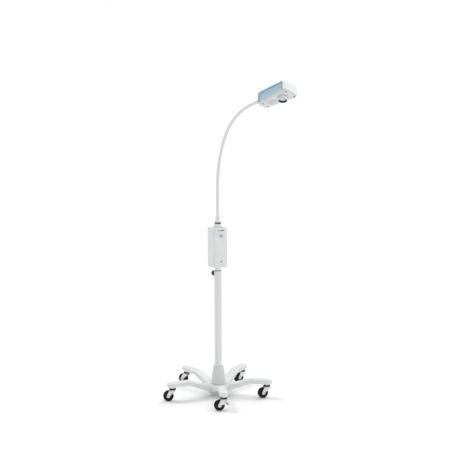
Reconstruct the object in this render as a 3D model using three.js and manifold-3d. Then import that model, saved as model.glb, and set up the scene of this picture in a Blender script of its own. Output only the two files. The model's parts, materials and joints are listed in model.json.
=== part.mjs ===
// Mobile surgical light: a five-legged castor stand, a telescopic column with a clamp knob,
// a control box, a gooseneck arm and a tapered lamp head.
//
// All sizes are millimetres and degrees. Heights are measured up from the floor, and the whole
// light is then lowered so that the origin is the flat head of the bolt under the hub.
// Azimuths run from -Y, which the control box faces, towards +X.

import * as THREE from 'three';
import { mergeVertices } from 'three/addons/utils/BufferGeometryUtils.js';
import Module from 'manifold-3d';

const wasm = await Module();
wasm.setup();

// ---------------------------------------------------------------- driving dimensions

const GAP = 0.3; // air left between two pieces that touch

// stand
const BOLT_FACE_HEIGHT = 24;
const LEG_COUNT = 5;
const FIRST_LEG_AZIMUTH = -22.3;
const LEG_REACH = 262;
const LEG_HALF_WIDTH = 20;
const LEG_ROOT_HALF_WIDTH = 28;
const LEG_TOP = 88;
const LEG_UNDERSIDE = 67;
const HUB_RADIUS = 60;
const HUB_TOP = 55;
const HUB_BOTTOM = 30;
const HUB_VALLEY = 57; // pulls the plan's curve between two legs towards the hub
const LEG_RISE_START = 64; // radii between which the top of a leg climbs
const LEG_RISE_END = 160;
const BOLT_RADIUS = 4.9;
const BOLT_HEAD_RADIUS = 12;
const POLE_RADIUS = 18;
const POLE_WALL = 2;
const POLE_TOP = 605;
const POLE_BOTTOM = 37;
const POLE_PLUG_TOP = 68;
const HUB_COVER_TOP = 143;
const HUB_COVER_FOOT_RADIUS = 34;
const HUB_COVER_TOP_RADIUS = 25;

// castors
const WHEEL_RADIUS = 25;
const WHEEL_WIDTH = 19;
const CASTOR_TRAIL = 20;
const CASTOR_REACH = 236;
const AXLE_RADIUS = 3;
const NUT_RADIUS = 5.5;
const RIM_RADIUS = 17.2; // of the wheel centre, under the tyre
const STEM_RADIUS = 5;
const STEM_TOP = 84.5;
const SWIVEL_RADIUS = 16.5;
const PIVOT_RADIUS = 4; // of the stem inside the fork's crown
const CROWN_RADIUS = 16;
const FORK_HALF_WIDTH = 14.6;
const FORK_SHEET = 2.4;
const FORK_TOP = 54.6;
// rest direction of each castor's trail, as an azimuth
const TRAIL_AZIMUTHS = [-108, -103, -90, -148, -116];
const BRAKED_CASTOR = 0;
const PEDAL_X = -8;
const PEDAL_Z = 41;
const PEDAL_PIN_RADIUS = 2;
const PEDAL_HALF_WIDTH = 10.5;

// column
const POST_RADIUS = 14.3;
const POST_WALL = 1.6;
const POST_BOTTOM = 232;
const KNOB_HEIGHT = 588;
const KNOB_RADIUS = 13;
const KNOB_LOBES = 6;
const LOBE_DEPTH = 0.8;
const SCREW_RADIUS = 3;
const PAD_END = 16.9; // where the clamp pad meets the screw, measured from the pole's axis
const BOSS_RADIUS = 8;
const BUSH_DEPTH = 45;
const POST_FLANGE_RADIUS = 26;

// control box
const BOX_WIDTH = 76;
const BOX_DEPTH = 76;
const BOX_CORNER = 14;
const BOX_BOTTOM = 625;
const BOX_HEIGHT = 188;
const BOX_CENTRE_Y = 4.5;
const BOX_EDGE = 3;
const BOX_WALL = 2.5;
const BOX_BACK_COVER = 12; // depth of the back cover
const BUTTON_HEIGHT = 775;
const BUTTON_RADIUS = 7;
const KEY_FLANGE = 1.5; // keeps the button and the lamp window from falling out of the front
const LAMP_HEIGHT = 654;
const LAMP_RADIUS = 2.5;
const INLET_HEIGHT = 660;
const INLET = { width: 26, height: 19, depth: 16 };

const BOX_TOP = BOX_BOTTOM + BOX_HEIGHT;
const BOX_FRONT = BOX_CENTRE_Y - BOX_DEPTH / 2;
const BOX_BACK = BOX_CENTRE_Y + BOX_DEPTH / 2;
const BOX_SPLIT = BOX_BACK - BOX_BACK_COVER;

// gooseneck
const ARM_AZIMUTH = 22.5;
const NECK_RADIUS = 7.2;
const NECK_BOTTOM = 858;
const NECK_SEGMENTS = 6;
const NECK_JOINT_GAP = 1.9; // each segment stops this far short of a bending point
const FLANGE_RADIUS = 21;
const FLANGE_HEIGHT = 18;
const SEAL_RADIUS = 16;
const SEAL_TOP = 23; // above the box
const LID_BORE = 9;
const FERRULE_RADIUS = 10.5;
// length and turn of each stretch: straight foot, gentle bend, tight bend, straight end
const NECK_STRETCHES = [
  { length: 146, turn: 0 },
  { length: 236, turn: 22 },
  { length: 227, turn: 48 },
  { length: 50, turn: 0 },
];
const NECK_LENGTH = NECK_STRETCHES.reduce((sum, stretch) => sum + stretch.length, 0);

// lamp head, in its own frame: +X from the neck to the outer end, +Z to the top cover
const HEAD_LENGTH = 178;
const HEAD_ROLL = -25;
const HEAD_SHELL = 2.5;
const NECK_END = { halfWidth: 28, top: 32, round: 18 };
const OUTER_END = { halfWidth: 47, top: 22, round: 14 };
const LOWER_EDGE_SHARE = 0.3; // how much of the outer end's rounding its lower edge gets
const HEAD_CORNER = 14;
const UNDERSIDE = -36;
const TRAY_DEPTH = 10;
const CAP_START = 165;
const WINDOW = { x: 72, length: 46, width: 34, depth: 1 };
const LENS_X = 129;
const LENS_RADIUS = 17.2;
const COLLAR_BORE = 19.3;
const COLLAR_NECK = 20.6;
const COLLAR_RADIUS = 22.5;
const COLLAR_DROP = 15;
const MOUTH = UNDERSIDE - COLLAR_DROP;
const LENS_SEAT = MOUTH + 10;
const BARREL_TOP = UNDERSIDE + 26;
const MODULE_SIZE = 44;
const FIN_COUNT = 7;
const TRAY_SCREWS = [[171, 28], [171, -28], [30, 16], [30, -16]];
const TRAY_SCREW = { radius: 1.5, head: 3.4, headHeight: 1.8, length: 12, pocket: 1, post: 4 };

// ---------------------------------------------------------------- materials

const FINISHES = {
  whitePaint: { color: 0xe9ebea, roughness: 0.45, metalness: 0.0 },
  whitePlastic: { color: 0xe6e8e8, roughness: 0.4, metalness: 0.0 },
  greyPlastic: { color: 0xc6c8c7, roughness: 0.5, metalness: 0.0 },
  bluePlastic: { color: 0xa5bfce, roughness: 0.35, metalness: 0.0 },
  buttonBlue: { color: 0x9fb4bd, roughness: 0.4, metalness: 0.0 },
  blackPlastic: { color: 0x1f1f21, roughness: 0.5, metalness: 0.0 },
  tyreRubber: { color: 0x1b1b1d, roughness: 0.75, metalness: 0.0 },
  steel: { color: 0xb9bcc0, roughness: 0.3, metalness: 1.0 },
  aluminium: { color: 0xc9ccce, roughness: 0.4, metalness: 1.0 },
  darkSteel: { color: 0x4c4c50, roughness: 0.4, metalness: 1.0 },
  clearLens: { color: 0xdfe8ec, roughness: 0.05, metalness: 0.0 },
};

// ---------------------------------------------------------------- geometry helpers

const radians = THREE.MathUtils.degToRad;

function directionAt(azimuth) {
  return new THREE.Vector2(Math.sin(radians(azimuth)), -Math.cos(radians(azimuth)));
}

// A closed geometry as a solid: vertices welded, triangles of no area dropped.
function solidFrom(geometry) {
  geometry.deleteAttribute('normal');
  geometry.deleteAttribute('uv');
  const welded = mergeVertices(geometry, 1e-4);
  const corners = [];
  for (let i = 0; i < welded.index.count; i += 3) {
    const [a, b, c] = [0, 1, 2].map((k) => welded.index.getX(i + k));
    if (a !== b && b !== c && c !== a) corners.push(a, b, c);
  }
  return new wasm.Manifold(new wasm.Mesh({
    numProp: 3,
    vertProperties: Float32Array.from(welded.attributes.position.array),
    triVerts: Uint32Array.from(corners),
  }));
}

function geometryFrom(solid) {
  const mesh = solid.getMesh();
  const geometry = new THREE.BufferGeometry();
  geometry.setAttribute('position', new THREE.BufferAttribute(Float32Array.from(mesh.vertProperties), 3));
  geometry.setIndex(new THREE.BufferAttribute(Uint32Array.from(mesh.triVerts), 1));
  geometry.computeVertexNormals();
  return geometry;
}

// Turns a closed outline of [radius, height] pairs, listed counter-clockwise, about Z.
function turned(outline, segments = 24) {
  const points = outline.map(([radius, height]) => new THREE.Vector2(radius, height));
  const onAxis = points[0].x === 0 && points[points.length - 1].x === 0;
  if (!onAxis) points.push(points[0].clone());
  return solidFrom(new THREE.LatheGeometry(points, segments).rotateX(Math.PI / 2));
}

function rod(radius, bottom, top, segments = 24) {
  return turned([[0, bottom], [radius, bottom], [radius, top], [0, top]], segments);
}

function ring(inner, outer, bottom, top, segments = 24) {
  return turned([[inner, bottom], [outer, bottom], [outer, top], [inner, top]], segments);
}

function block(sizeX, sizeY, sizeZ, x, y, z) {
  return solidFrom(new THREE.BoxGeometry(sizeX, sizeY, sizeZ).translate(x, y, z));
}

// Extrudes a shape drawn in XY from one height to another.
function prism(shape, bottom, top, curveSegments = 6) {
  const options = { depth: top - bottom, bevelEnabled: false, curveSegments };
  return solidFrom(new THREE.ExtrudeGeometry(shape, options).translate(0, 0, bottom));
}

function roundedRectangle(width, depth, corner) {
  const [x, y] = [width / 2 - corner, depth / 2 - corner];
  const shape = new THREE.Shape();
  shape.absarc(x, -y, corner, -Math.PI / 2, 0);
  shape.absarc(x, y, corner, 0, Math.PI / 2);
  shape.absarc(-x, y, corner, Math.PI / 2, Math.PI);
  shape.absarc(-x, -y, corner, Math.PI, Math.PI * 1.5);
  return shape;
}

// Joins rings of equal point count into one closed skin with flat ends.
function loft(rings) {
  const count = rings[0].length;
  const positions = rings.flat().flatMap((point) => point.toArray());
  const corners = [];
  for (let r = 0; r + 1 < rings.length; r += 1) {
    for (let i = 0; i < count; i += 1) {
      const [a, b] = [r * count + i, r * count + ((i + 1) % count)];
      corners.push(a, b, b + count, a, b + count, a + count);
    }
  }
  const last = (rings.length - 1) * count;
  for (let i = 1; i + 1 < count; i += 1) {
    corners.push(0, i + 1, i);
    corners.push(last, last + i, last + i + 1);
  }
  const geometry = new THREE.BufferGeometry();
  geometry.setAttribute('position', new THREE.Float32BufferAttribute(positions, 3));
  geometry.setIndex(corners);
  return solidFrom(geometry);
}

// ---------------------------------------------------------------- the assembly

const light = new THREE.Group();
light.position.z = -BOLT_FACE_HEIGHT;

function addPiece(parent, name, solid, finish) {
  const material = new THREE.MeshStandardMaterial(FINISHES[finish]);
  const mesh = new THREE.Mesh(geometryFrom(solid), material);
  mesh.name = name;
  parent.add(mesh);
}

// ---------------------------------------------------------------- stand

function legAzimuth(index) {
  return FIRST_LEG_AZIMUTH + (index * 360) / LEG_COUNT;
}

// Plan of the casting: five round-ended legs that widen into the hub.
function starOutline() {
  const shape = new THREE.Shape();
  for (let leg = 0; leg < LEG_COUNT; leg += 1) {
    const along = directionAt(legAzimuth(leg));
    const across = new THREE.Vector2(-along.y, along.x);
    const place = (reach, side) => along.clone().multiplyScalar(reach).addScaledVector(across, side);
    const rootStart = place(HUB_RADIUS, -LEG_ROOT_HALF_WIDTH);
    if (leg === 0) shape.moveTo(rootStart.x, rootStart.y);
    const tipCentre = LEG_REACH - LEG_HALF_WIDTH;
    const corners = [place(LEG_RISE_END, -LEG_HALF_WIDTH), place(tipCentre, -LEG_HALF_WIDTH)];
    corners.forEach((corner) => shape.lineTo(corner.x, corner.y));
    const tip = place(tipCentre, 0);
    const heading = along.angle();
    shape.absarc(tip.x, tip.y, LEG_HALF_WIDTH, heading - Math.PI / 2, heading + Math.PI / 2);
    const back = [place(LEG_RISE_END, LEG_HALF_WIDTH), place(HUB_RADIUS, LEG_ROOT_HALF_WIDTH)];
    back.forEach((corner) => shape.lineTo(corner.x, corner.y));
    const next = directionAt(legAzimuth(leg + 1));
    const nextAcross = new THREE.Vector2(-next.y, next.x);
    const nextRoot = next.multiplyScalar(HUB_RADIUS).addScaledVector(nextAcross, -LEG_ROOT_HALF_WIDTH);
    const valley = directionAt(legAzimuth(leg + 0.5)).multiplyScalar(HUB_VALLEY);
    shape.quadraticCurveTo(valley.x, valley.y, nextRoot.x, nextRoot.y);
  }
  return shape;
}

// The casting is the star plan cut from one turned form, which gives every leg its rise.
function baseCasting() {
  const rim = LEG_REACH + 10;
  const form = turned([
    [0, HUB_BOTTOM], [LEG_RISE_START, HUB_BOTTOM], [LEG_RISE_END, LEG_UNDERSIDE], [rim, LEG_UNDERSIDE],
    [rim, LEG_TOP], [LEG_RISE_END + 4, LEG_TOP], [LEG_RISE_END - 16, LEG_TOP - 4],
    [LEG_RISE_START, HUB_TOP], [0, HUB_TOP],
  ], 40);
  let casting = form.intersect(prism(starOutline(), 0, LEG_TOP + 10));
  casting = casting.subtract(rod(POLE_RADIUS + GAP, POLE_BOTTOM - GAP, HUB_TOP + 10));
  casting = casting.subtract(rod(BOLT_RADIUS + GAP, 0, HUB_TOP));
  for (let leg = 0; leg < LEG_COUNT; leg += 1) {
    const place = directionAt(legAzimuth(leg)).multiplyScalar(CASTOR_REACH);
    const socket = rod(STEM_RADIUS + GAP, 0, STEM_TOP + GAP, 12);
    casting = casting.subtract(socket.translate([place.x, place.y, 0]));
  }
  return casting;
}

function hubCover() {
  return turned([
    [HUB_COVER_FOOT_RADIUS - 3, HUB_TOP + GAP], [HUB_COVER_FOOT_RADIUS, HUB_TOP + GAP],
    [33.4, 75], [31, 105], [26.5, 133],
    [HUB_COVER_TOP_RADIUS, HUB_COVER_TOP], [POLE_RADIUS + 0.5, HUB_COVER_TOP],
    [POLE_RADIUS + 0.5, HUB_COVER_TOP - 6], [24, 131], [28, 105], [30.4, 75],
  ], 18);
}

// Turns a solid drawn about Z so that it points backwards along the clamp screw.
function alongClamp(solid) {
  return solid.rotate([-90, 0, 0]).translate([0, 0, KNOB_HEIGHT]);
}

// A welded tube: a tapped plug closes its foot, and a tapped boss near its mouth takes the clamp screw.
function pole() {
  const bore = POLE_RADIUS - POLE_WALL;
  const tapped = BOLT_RADIUS + GAP;
  const tube = turned([
    [tapped, POLE_BOTTOM], [POLE_RADIUS, POLE_BOTTOM], [POLE_RADIUS, POLE_TOP], [bore, POLE_TOP],
    [bore, POLE_PLUG_TOP], [0, POLE_PLUG_TOP], [0, POLE_PLUG_TOP - 6], [tapped, POLE_PLUG_TOP - 6],
  ], 24);
  const reach = rod(BOSS_RADIUS, bore - 2, POLE_RADIUS + 7, 20);
  const inside = rod(POLE_RADIUS - POLE_WALL / 2, KNOB_HEIGHT - 30, KNOB_HEIGHT + 30);
  const boss = alongClamp(reach).subtract(inside);
  return tube.add(boss).subtract(clampHole());
}

function clampHole() {
  return alongClamp(rod(SCREW_RADIUS + GAP, 0, 60, 12));
}

function baseBolt() {
  const neck = BOLT_HEAD_RADIUS - 3;
  return turned([
    [0, BOLT_FACE_HEIGHT], [neck, BOLT_FACE_HEIGHT], [neck, 27.2], [BOLT_HEAD_RADIUS, 27.6],
    [BOLT_HEAD_RADIUS, HUB_BOTTOM - GAP], [BOLT_RADIUS, HUB_BOTTOM - GAP],
    [BOLT_RADIUS, POLE_PLUG_TOP - 8], [0, POLE_PLUG_TOP - 8],
  ], 16);
}

function addStand() {
  addPiece(light, 'base_casting', baseCasting(), 'whitePaint');
  addPiece(light, 'hub_cover', hubCover(), 'greyPlastic');
  addPiece(light, 'pole', pole(), 'whitePaint');
  addPiece(light, 'base_bolt', baseBolt(), 'steel');
}

// ---------------------------------------------------------------- castors

// Each castor is drawn with its swivel axis on Z and its wheel trailing towards +X.
function castorStem() {
  return turned([
    [0, FORK_TOP - 5.2], [6.5, FORK_TOP - 5.2], [6.5, FORK_TOP - 3], [PIVOT_RADIUS, FORK_TOP - 3],
    [PIVOT_RADIUS, FORK_TOP + GAP], [SWIVEL_RADIUS, FORK_TOP + GAP], [SWIVEL_RADIUS, FORK_TOP + 5],
    [9, FORK_TOP + 6], [9, LEG_UNDERSIDE - 0.4], [STEM_RADIUS, LEG_UNDERSIDE - 0.4],
    [STEM_RADIUS, STEM_TOP], [0, STEM_TOP],
  ], 12);
}

function forkCheek(braked) {
  const [axleX, axleZ] = [CASTOR_TRAIL, WHEEL_RADIUS];
  const nose = braked ? -13.5 : -9;
  const shape = new THREE.Shape();
  shape.moveTo(nose, FORK_TOP);
  if (braked) shape.lineTo(-14.5, 40);
  shape.lineTo(-6, braked ? 34 : 44);
  shape.absarc(axleX, axleZ, 7.5, Math.PI, Math.PI * 2.1);
  shape.lineTo(13, FORK_TOP);
  const axleHole = rod(AXLE_RADIUS + GAP, -5, 5, 10).translate([axleX, axleZ, 0]);
  let cheek = prism(shape, 0, FORK_SHEET, 3).subtract(axleHole);
  if (braked) {
    const pinHole = rod(PEDAL_PIN_RADIUS + GAP, -5, 5, 12).translate([PEDAL_X, PEDAL_Z, 0]);
    cheek = cheek.subtract(pinHole);
  }
  return cheek.rotate([90, 0, 0]);
}

function castorFork(braked) {
  const crown = ring(PIVOT_RADIUS + GAP, CROWN_RADIUS, FORK_TOP - FORK_SHEET, FORK_TOP, 12);
  const left = forkCheek(braked).translate([0, FORK_HALF_WIDTH, 0]);
  const right = forkCheek(braked).translate([0, FORK_SHEET - FORK_HALF_WIDTH, 0]);
  return crown.add(left).add(right);
}

function alongAxle(solid) {
  return solid.rotate([90, 0, 0]).translate([CASTOR_TRAIL, 0, WHEEL_RADIUS]);
}

function castorAxle() {
  const seat = FORK_HALF_WIDTH + GAP;
  const end = seat + 2;
  return alongAxle(turned([
    [0, -end], [NUT_RADIUS, -end], [NUT_RADIUS, -seat], [AXLE_RADIUS, -seat],
    [AXLE_RADIUS, seat], [NUT_RADIUS, seat], [NUT_RADIUS, end], [0, end],
  ], 10));
}

function wheelCore() {
  const half = WHEEL_WIDTH / 2;
  return alongAxle(turned([
    [AXLE_RADIUS + GAP, -half - 1.5], [7, -half - 1.5], [8, -half + 2], [15, -half + 2],
    [RIM_RADIUS, -half + 0.5], [RIM_RADIUS, half - 0.5], [15, half - 2], [8, half - 2],
    [7, half + 1.5], [AXLE_RADIUS + GAP, half + 1.5],
  ], 14));
}

// The tread's lowest strip is one level flat on the floor.
function wheelTyre() {
  const half = WHEEL_WIDTH / 2;
  const segments = 20;
  const tread = WHEEL_RADIUS / Math.cos(Math.PI / segments);
  const bore = RIM_RADIUS + 0.4;
  const tyre = turned([
    [bore, -half], [22, -half], [tread, -half + 4], [tread, half - 4], [22, half], [bore, half],
  ], segments);
  return alongAxle(tyre.rotate([0, 0, 180 / segments]));
}

// A foot lever hung between the cheeks: its toe plate leads and its cam faces the tread.
function brakePedal() {
  const shape = new THREE.Shape();
  shape.absarc(PEDAL_X, PEDAL_Z, 4, radians(20), radians(250));
  shape.lineTo(PEDAL_X - 13, PEDAL_Z - 15);
  shape.lineTo(PEDAL_X - 12, PEDAL_Z - 18);
  shape.lineTo(PEDAL_X + 2.5, PEDAL_Z - 6);
  const lever = prism(shape, -PEDAL_HALF_WIDTH, PEDAL_HALF_WIDTH, 6).rotate([90, 0, 0]);
  const pin = rod(PEDAL_PIN_RADIUS, -FORK_HALF_WIDTH, FORK_HALF_WIDTH, 12).rotate([90, 0, 0]);
  return lever.add(pin.translate([PEDAL_X, 0, PEDAL_Z]));
}

function addCastor(leg) {
  const castor = new THREE.Group();
  const place = directionAt(legAzimuth(leg)).multiplyScalar(CASTOR_REACH);
  castor.position.set(place.x, place.y, 0);
  castor.rotation.z = radians(TRAIL_AZIMUTHS[leg] - 90);
  light.add(castor);
  const braked = leg === BRAKED_CASTOR;
  const number = leg + 1;
  addPiece(castor, `castor_stem_${number}`, castorStem(), 'blackPlastic');
  addPiece(castor, `castor_fork_${number}`, castorFork(braked), 'steel');
  addPiece(castor, `castor_axle_${number}`, castorAxle(), 'steel');
  addPiece(castor, `wheel_core_${number}`, wheelCore(), 'blackPlastic');
  addPiece(castor, `wheel_tyre_${number}`, wheelTyre(), 'tyreRubber');
  if (braked) addPiece(castor, 'brake_pedal', brakePedal(), 'blackPlastic');
}

// ---------------------------------------------------------------- column and clamp

function postBush() {
  const outer = POLE_RADIUS - POLE_WALL - GAP;
  const inner = POST_RADIUS + GAP;
  const lip = POLE_RADIUS - 0.5;
  const sleeve = turned([
    [inner, POLE_TOP - BUSH_DEPTH], [outer, POLE_TOP - BUSH_DEPTH], [outer, POLE_TOP + GAP],
    [lip, POLE_TOP + GAP], [lip, POLE_TOP + 2.5], [inner, POLE_TOP + 3.5],
  ], 24);
  return sleeve.subtract(clampHole());
}

function postGlide() {
  const spigot = POST_RADIUS - POST_WALL - GAP;
  const outer = POLE_RADIUS - POLE_WALL - GAP;
  return turned([
    [0, POST_BOTTOM - 8], [outer, POST_BOTTOM - 8], [outer, POST_BOTTOM - GAP],
    [spigot, POST_BOTTOM - GAP], [spigot, POST_BOTTOM + 20], [0, POST_BOTTOM + 20],
  ], 24);
}

// The post's flange bolts to the floor of the control box from inside.
function post() {
  const floor = BOX_BOTTOM + BOX_WALL + GAP;
  const bore = POST_RADIUS - POST_WALL;
  return turned([
    [bore, POST_BOTTOM], [POST_RADIUS, POST_BOTTOM], [POST_RADIUS, floor], [POST_FLANGE_RADIUS, floor],
    [POST_FLANGE_RADIUS, floor + 5], [POST_RADIUS, floor + 5], [POST_RADIUS, floor + 14], [bore, floor + 14],
  ], 24);
}

function clampPad() {
  return alongClamp(rod(SCREW_RADIUS - GAP, POST_RADIUS + GAP, PAD_END, 16));
}

// A lobed knob moulded on to the end of its screw.
function clampKnob() {
  const shape = new THREE.Shape();
  const points = 4 * KNOB_LOBES;
  for (let i = 0; i <= points; i += 1) {
    const angle = (i / points) * Math.PI * 2;
    const radius = KNOB_RADIUS - LOBE_DEPTH + LOBE_DEPTH * Math.cos(KNOB_LOBES * angle);
    const [x, y] = [radius * Math.cos(angle), radius * Math.sin(angle)];
    if (i === 0) shape.moveTo(x, y);
    else if (i < points) shape.lineTo(x, y);
  }
  const grip = prism(shape, POLE_RADIUS + 14, POLE_RADIUS + 28);
  const boss = rod(6.5, POLE_RADIUS + 9.5, POLE_RADIUS + 15, 20);
  const screw = rod(SCREW_RADIUS, PAD_END + GAP, POLE_RADIUS + 12, 16);
  return alongClamp(grip.add(boss).add(screw));
}

function addColumn() {
  addPiece(light, 'post_bush', postBush(), 'blackPlastic');
  addPiece(light, 'post_glide', postGlide(), 'blackPlastic');
  addPiece(light, 'post', post(), 'whitePaint');
  addPiece(light, 'clamp_pad', clampPad(), 'blackPlastic');
  addPiece(light, 'clamp_knob', clampKnob(), 'blackPlastic');
}

// ---------------------------------------------------------------- control box

// The hollow box, front and back together, with its edges rounded.
function boxSkin() {
  const [width, depth] = [BOX_WIDTH - 2 * BOX_EDGE, BOX_DEPTH - 2 * BOX_EDGE];
  const shape = roundedRectangle(width, depth, BOX_CORNER - BOX_EDGE);
  const options = {
    depth: BOX_HEIGHT - 2 * BOX_EDGE, curveSegments: 3,
    bevelThickness: BOX_EDGE, bevelSize: BOX_EDGE, bevelSegments: 2,
  };
  const outer = solidFrom(new THREE.ExtrudeGeometry(shape, options).translate(0, 0, BOX_BOTTOM + BOX_EDGE));
  const hollow = roundedRectangle(BOX_WIDTH - 2 * BOX_WALL, BOX_DEPTH - 2 * BOX_WALL, BOX_CORNER - BOX_WALL);
  const inner = prism(hollow, BOX_BOTTOM + BOX_WALL, BOX_TOP - BOX_WALL, 3);
  return outer.subtract(inner).translate([0, BOX_CENTRE_Y, 0]);
}

function throughFront(radius, height) {
  return rod(radius, 0, 60, 20).rotate([90, 0, 0]).translate([0, 0, height]);
}

function housingFront() {
  const keep = block(200, 200, 400, 0, BOX_SPLIT - 100, BOX_BOTTOM + 100);
  return boxSkin().intersect(keep)
    .subtract(rod(POST_RADIUS + GAP, BOX_BOTTOM - 5, BOX_BOTTOM + 10, 32))
    .subtract(rod(LID_BORE + GAP, BOX_TOP - 10, BOX_TOP + 5, 24))
    .subtract(throughFront(BUTTON_RADIUS + GAP, BUTTON_HEIGHT))
    .subtract(throughFront(LAMP_RADIUS + GAP, LAMP_HEIGHT));
}

function housingBack() {
  const keep = block(200, 200, 400, 0, BOX_SPLIT + GAP + 100, BOX_BOTTOM + 100);
  const [width, height] = [INLET.width + 2 * GAP, INLET.height + 2 * GAP];
  const opening = block(width, 60, height, 0, BOX_BACK + 10, INLET_HEIGHT);
  return boxSkin().intersect(keep).subtract(opening);
}

// Stands a solid drawn about Z on the inside of the front wall, facing out.
function behindFront(solid, height) {
  const seat = BOX_FRONT + BOX_WALL + GAP + KEY_FLANGE;
  return solid.rotate([90, 0, 0]).translate([0, seat, height]);
}

function powerButton() {
  const button = turned([
    [0, 0], [BUTTON_RADIUS + 2.5, 0], [BUTTON_RADIUS + 2.5, KEY_FLANGE], [BUTTON_RADIUS, KEY_FLANGE],
    [BUTTON_RADIUS, 5.5], [BUTTON_RADIUS - 0.8, 6.2], [0, 6.6],
  ], 24);
  return behindFront(button, BUTTON_HEIGHT);
}

function statusLight() {
  const window = turned([
    [0, 0], [LAMP_RADIUS + 1, 0], [LAMP_RADIUS + 1, KEY_FLANGE], [LAMP_RADIUS, KEY_FLANGE],
    [LAMP_RADIUS, 4.6], [0, 5.2],
  ], 16);
  return behindFront(window, LAMP_HEIGHT);
}

function powerInlet() {
  const { width, height, depth } = INLET;
  const frame = block(width + 6, 1.6, height + 6, 0, BOX_BACK + GAP + 0.8, INLET_HEIGHT);
  const body = block(width, depth, height, 0, BOX_BACK + 1 - depth / 2, INLET_HEIGHT);
  const socket = block(width - 6, 12, height - 7, 0, BOX_BACK - 2, INLET_HEIGHT);
  let inlet = frame.add(body).subtract(socket);
  for (const x of [-6, 0, 6]) {
    inlet = inlet.add(block(1.6, 8, 4, x, BOX_BACK - 7, INLET_HEIGHT));
  }
  return inlet;
}

function addControlBox() {
  addPiece(light, 'housing_front', housingFront(), 'whitePlastic');
  addPiece(light, 'housing_back', housingBack(), 'whitePlastic');
  addPiece(light, 'power_button', powerButton(), 'buttonBlue');
  addPiece(light, 'status_light', statusLight(), 'greyPlastic');
  addPiece(light, 'power_inlet', powerInlet(), 'blackPlastic');
}

// ---------------------------------------------------------------- gooseneck

// Reach, height and tilt from the vertical at a distance along the neck's centreline.
function neckPoint(distance) {
  let [reach, height, tilt, left] = [0, NECK_BOTTOM, 0, distance];
  for (const { length, turn } of NECK_STRETCHES) {
    const travelled = Math.min(left, length);
    if (travelled <= 0) break;
    const bend = radians(turn) * (travelled / length);
    if (turn === 0) {
      reach += travelled * Math.sin(tilt);
      height += travelled * Math.cos(tilt);
    } else {
      const radius = length / radians(turn);
      reach += radius * (Math.cos(tilt) - Math.cos(tilt + bend));
      height += radius * (Math.sin(tilt + bend) - Math.sin(tilt));
    }
    tilt += bend;
    left -= travelled;
  }
  return { reach, height, tilt };
}

class NeckCurve extends THREE.Curve {
  constructor(start, end) {
    super();
    this.start = start;
    this.end = end;
  }

  getPoint(t, target = new THREE.Vector3()) {
    const { reach, height } = neckPoint(this.start + t * (this.end - this.start));
    const plan = directionAt(ARM_AZIMUTH);
    return target.set(plan.x * reach, plan.y * reach, height);
  }
}

function neckSegment(index) {
  const pitch = NECK_LENGTH / NECK_SEGMENTS;
  const start = index * pitch + (index === 0 ? 0 : NECK_JOINT_GAP);
  const end = (index + 1) * pitch - (index + 1 === NECK_SEGMENTS ? 0 : NECK_JOINT_GAP);
  const steps = index === 0 ? 2 : 5;
  const options = { extrudePath: new NeckCurve(start, end), steps, curveSegments: 6 };
  const shape = new THREE.Shape().absarc(0, 0, NECK_RADIUS, 0, Math.PI * 2);
  return solidFrom(new THREE.ExtrudeGeometry(shape, options));
}

// The boss on the box lid, its seal ring and the stepped ferrule that grips the neck.
function neckFlange() {
  return turned([
    [11, BOX_TOP + GAP], [FLANGE_RADIUS, BOX_TOP + GAP], [FLANGE_RADIUS, BOX_TOP + 5],
    [FLANGE_RADIUS - 4, BOX_TOP + FLANGE_HEIGHT], [11, BOX_TOP + FLANGE_HEIGHT],
  ], 20);
}

function neckSeal() {
  return ring(11, SEAL_RADIUS, BOX_TOP + FLANGE_HEIGHT + GAP, BOX_TOP + SEAL_TOP, 20);
}

function neckFerrule() {
  const rise = BOX_TOP + SEAL_TOP + GAP;
  const bore = 4;
  return turned([
    [bore, BOX_TOP - 12], [LID_BORE, BOX_TOP - 12], [LID_BORE, rise], [14, rise], [14, rise + 8],
    [FERRULE_RADIUS, rise + 10], [FERRULE_RADIUS, NECK_BOTTOM + 6], [LID_BORE, NECK_BOTTOM + 8],
    [NECK_RADIUS + GAP, NECK_BOTTOM + 8], [NECK_RADIUS + GAP, NECK_BOTTOM - GAP], [bore, NECK_BOTTOM - GAP],
  ], 18);
}

function addNeck() {
  addPiece(light, 'neck_flange', neckFlange(), 'whitePlastic');
  addPiece(light, 'neck_seal', neckSeal(), 'blackPlastic');
  addPiece(light, 'neck_ferrule', neckFerrule(), 'whitePaint');
  for (let i = 0; i + 1 < NECK_SEGMENTS; i += 1) {
    addPiece(light, `neck_segment_${i + 1}`, neckSegment(i), 'whitePaint');
  }
  const last = neckSegment(NECK_SEGMENTS - 1);
  const collar = headPlaced(rod(11, 4, 8, 16).rotate([0, 90, 0]));
  const spigot = headPlaced(rod(NECK_RADIUS - 0.6, -1, 8, 16).rotate([0, 90, 0]));
  addPiece(light, `neck_segment_${NECK_SEGMENTS}`, last.add(spigot).add(collar), 'whitePaint');
}

// ---------------------------------------------------------------- lamp head

// Moves a solid from the head's own frame to the end of the neck.
function headPlaced(solid) {
  const { reach, height, tilt } = neckPoint(NECK_LENGTH);
  const plan = directionAt(ARM_AZIMUTH);
  const pitch = THREE.MathUtils.radToDeg(tilt) - 90;
  return solid
    .rotate([HEAD_ROLL, 0, 0])
    .rotate([0, pitch, 0])
    .rotate([0, 0, ARM_AZIMUTH - 90])
    .translate([plan.x * reach, plan.y * reach, height]);
}

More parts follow.
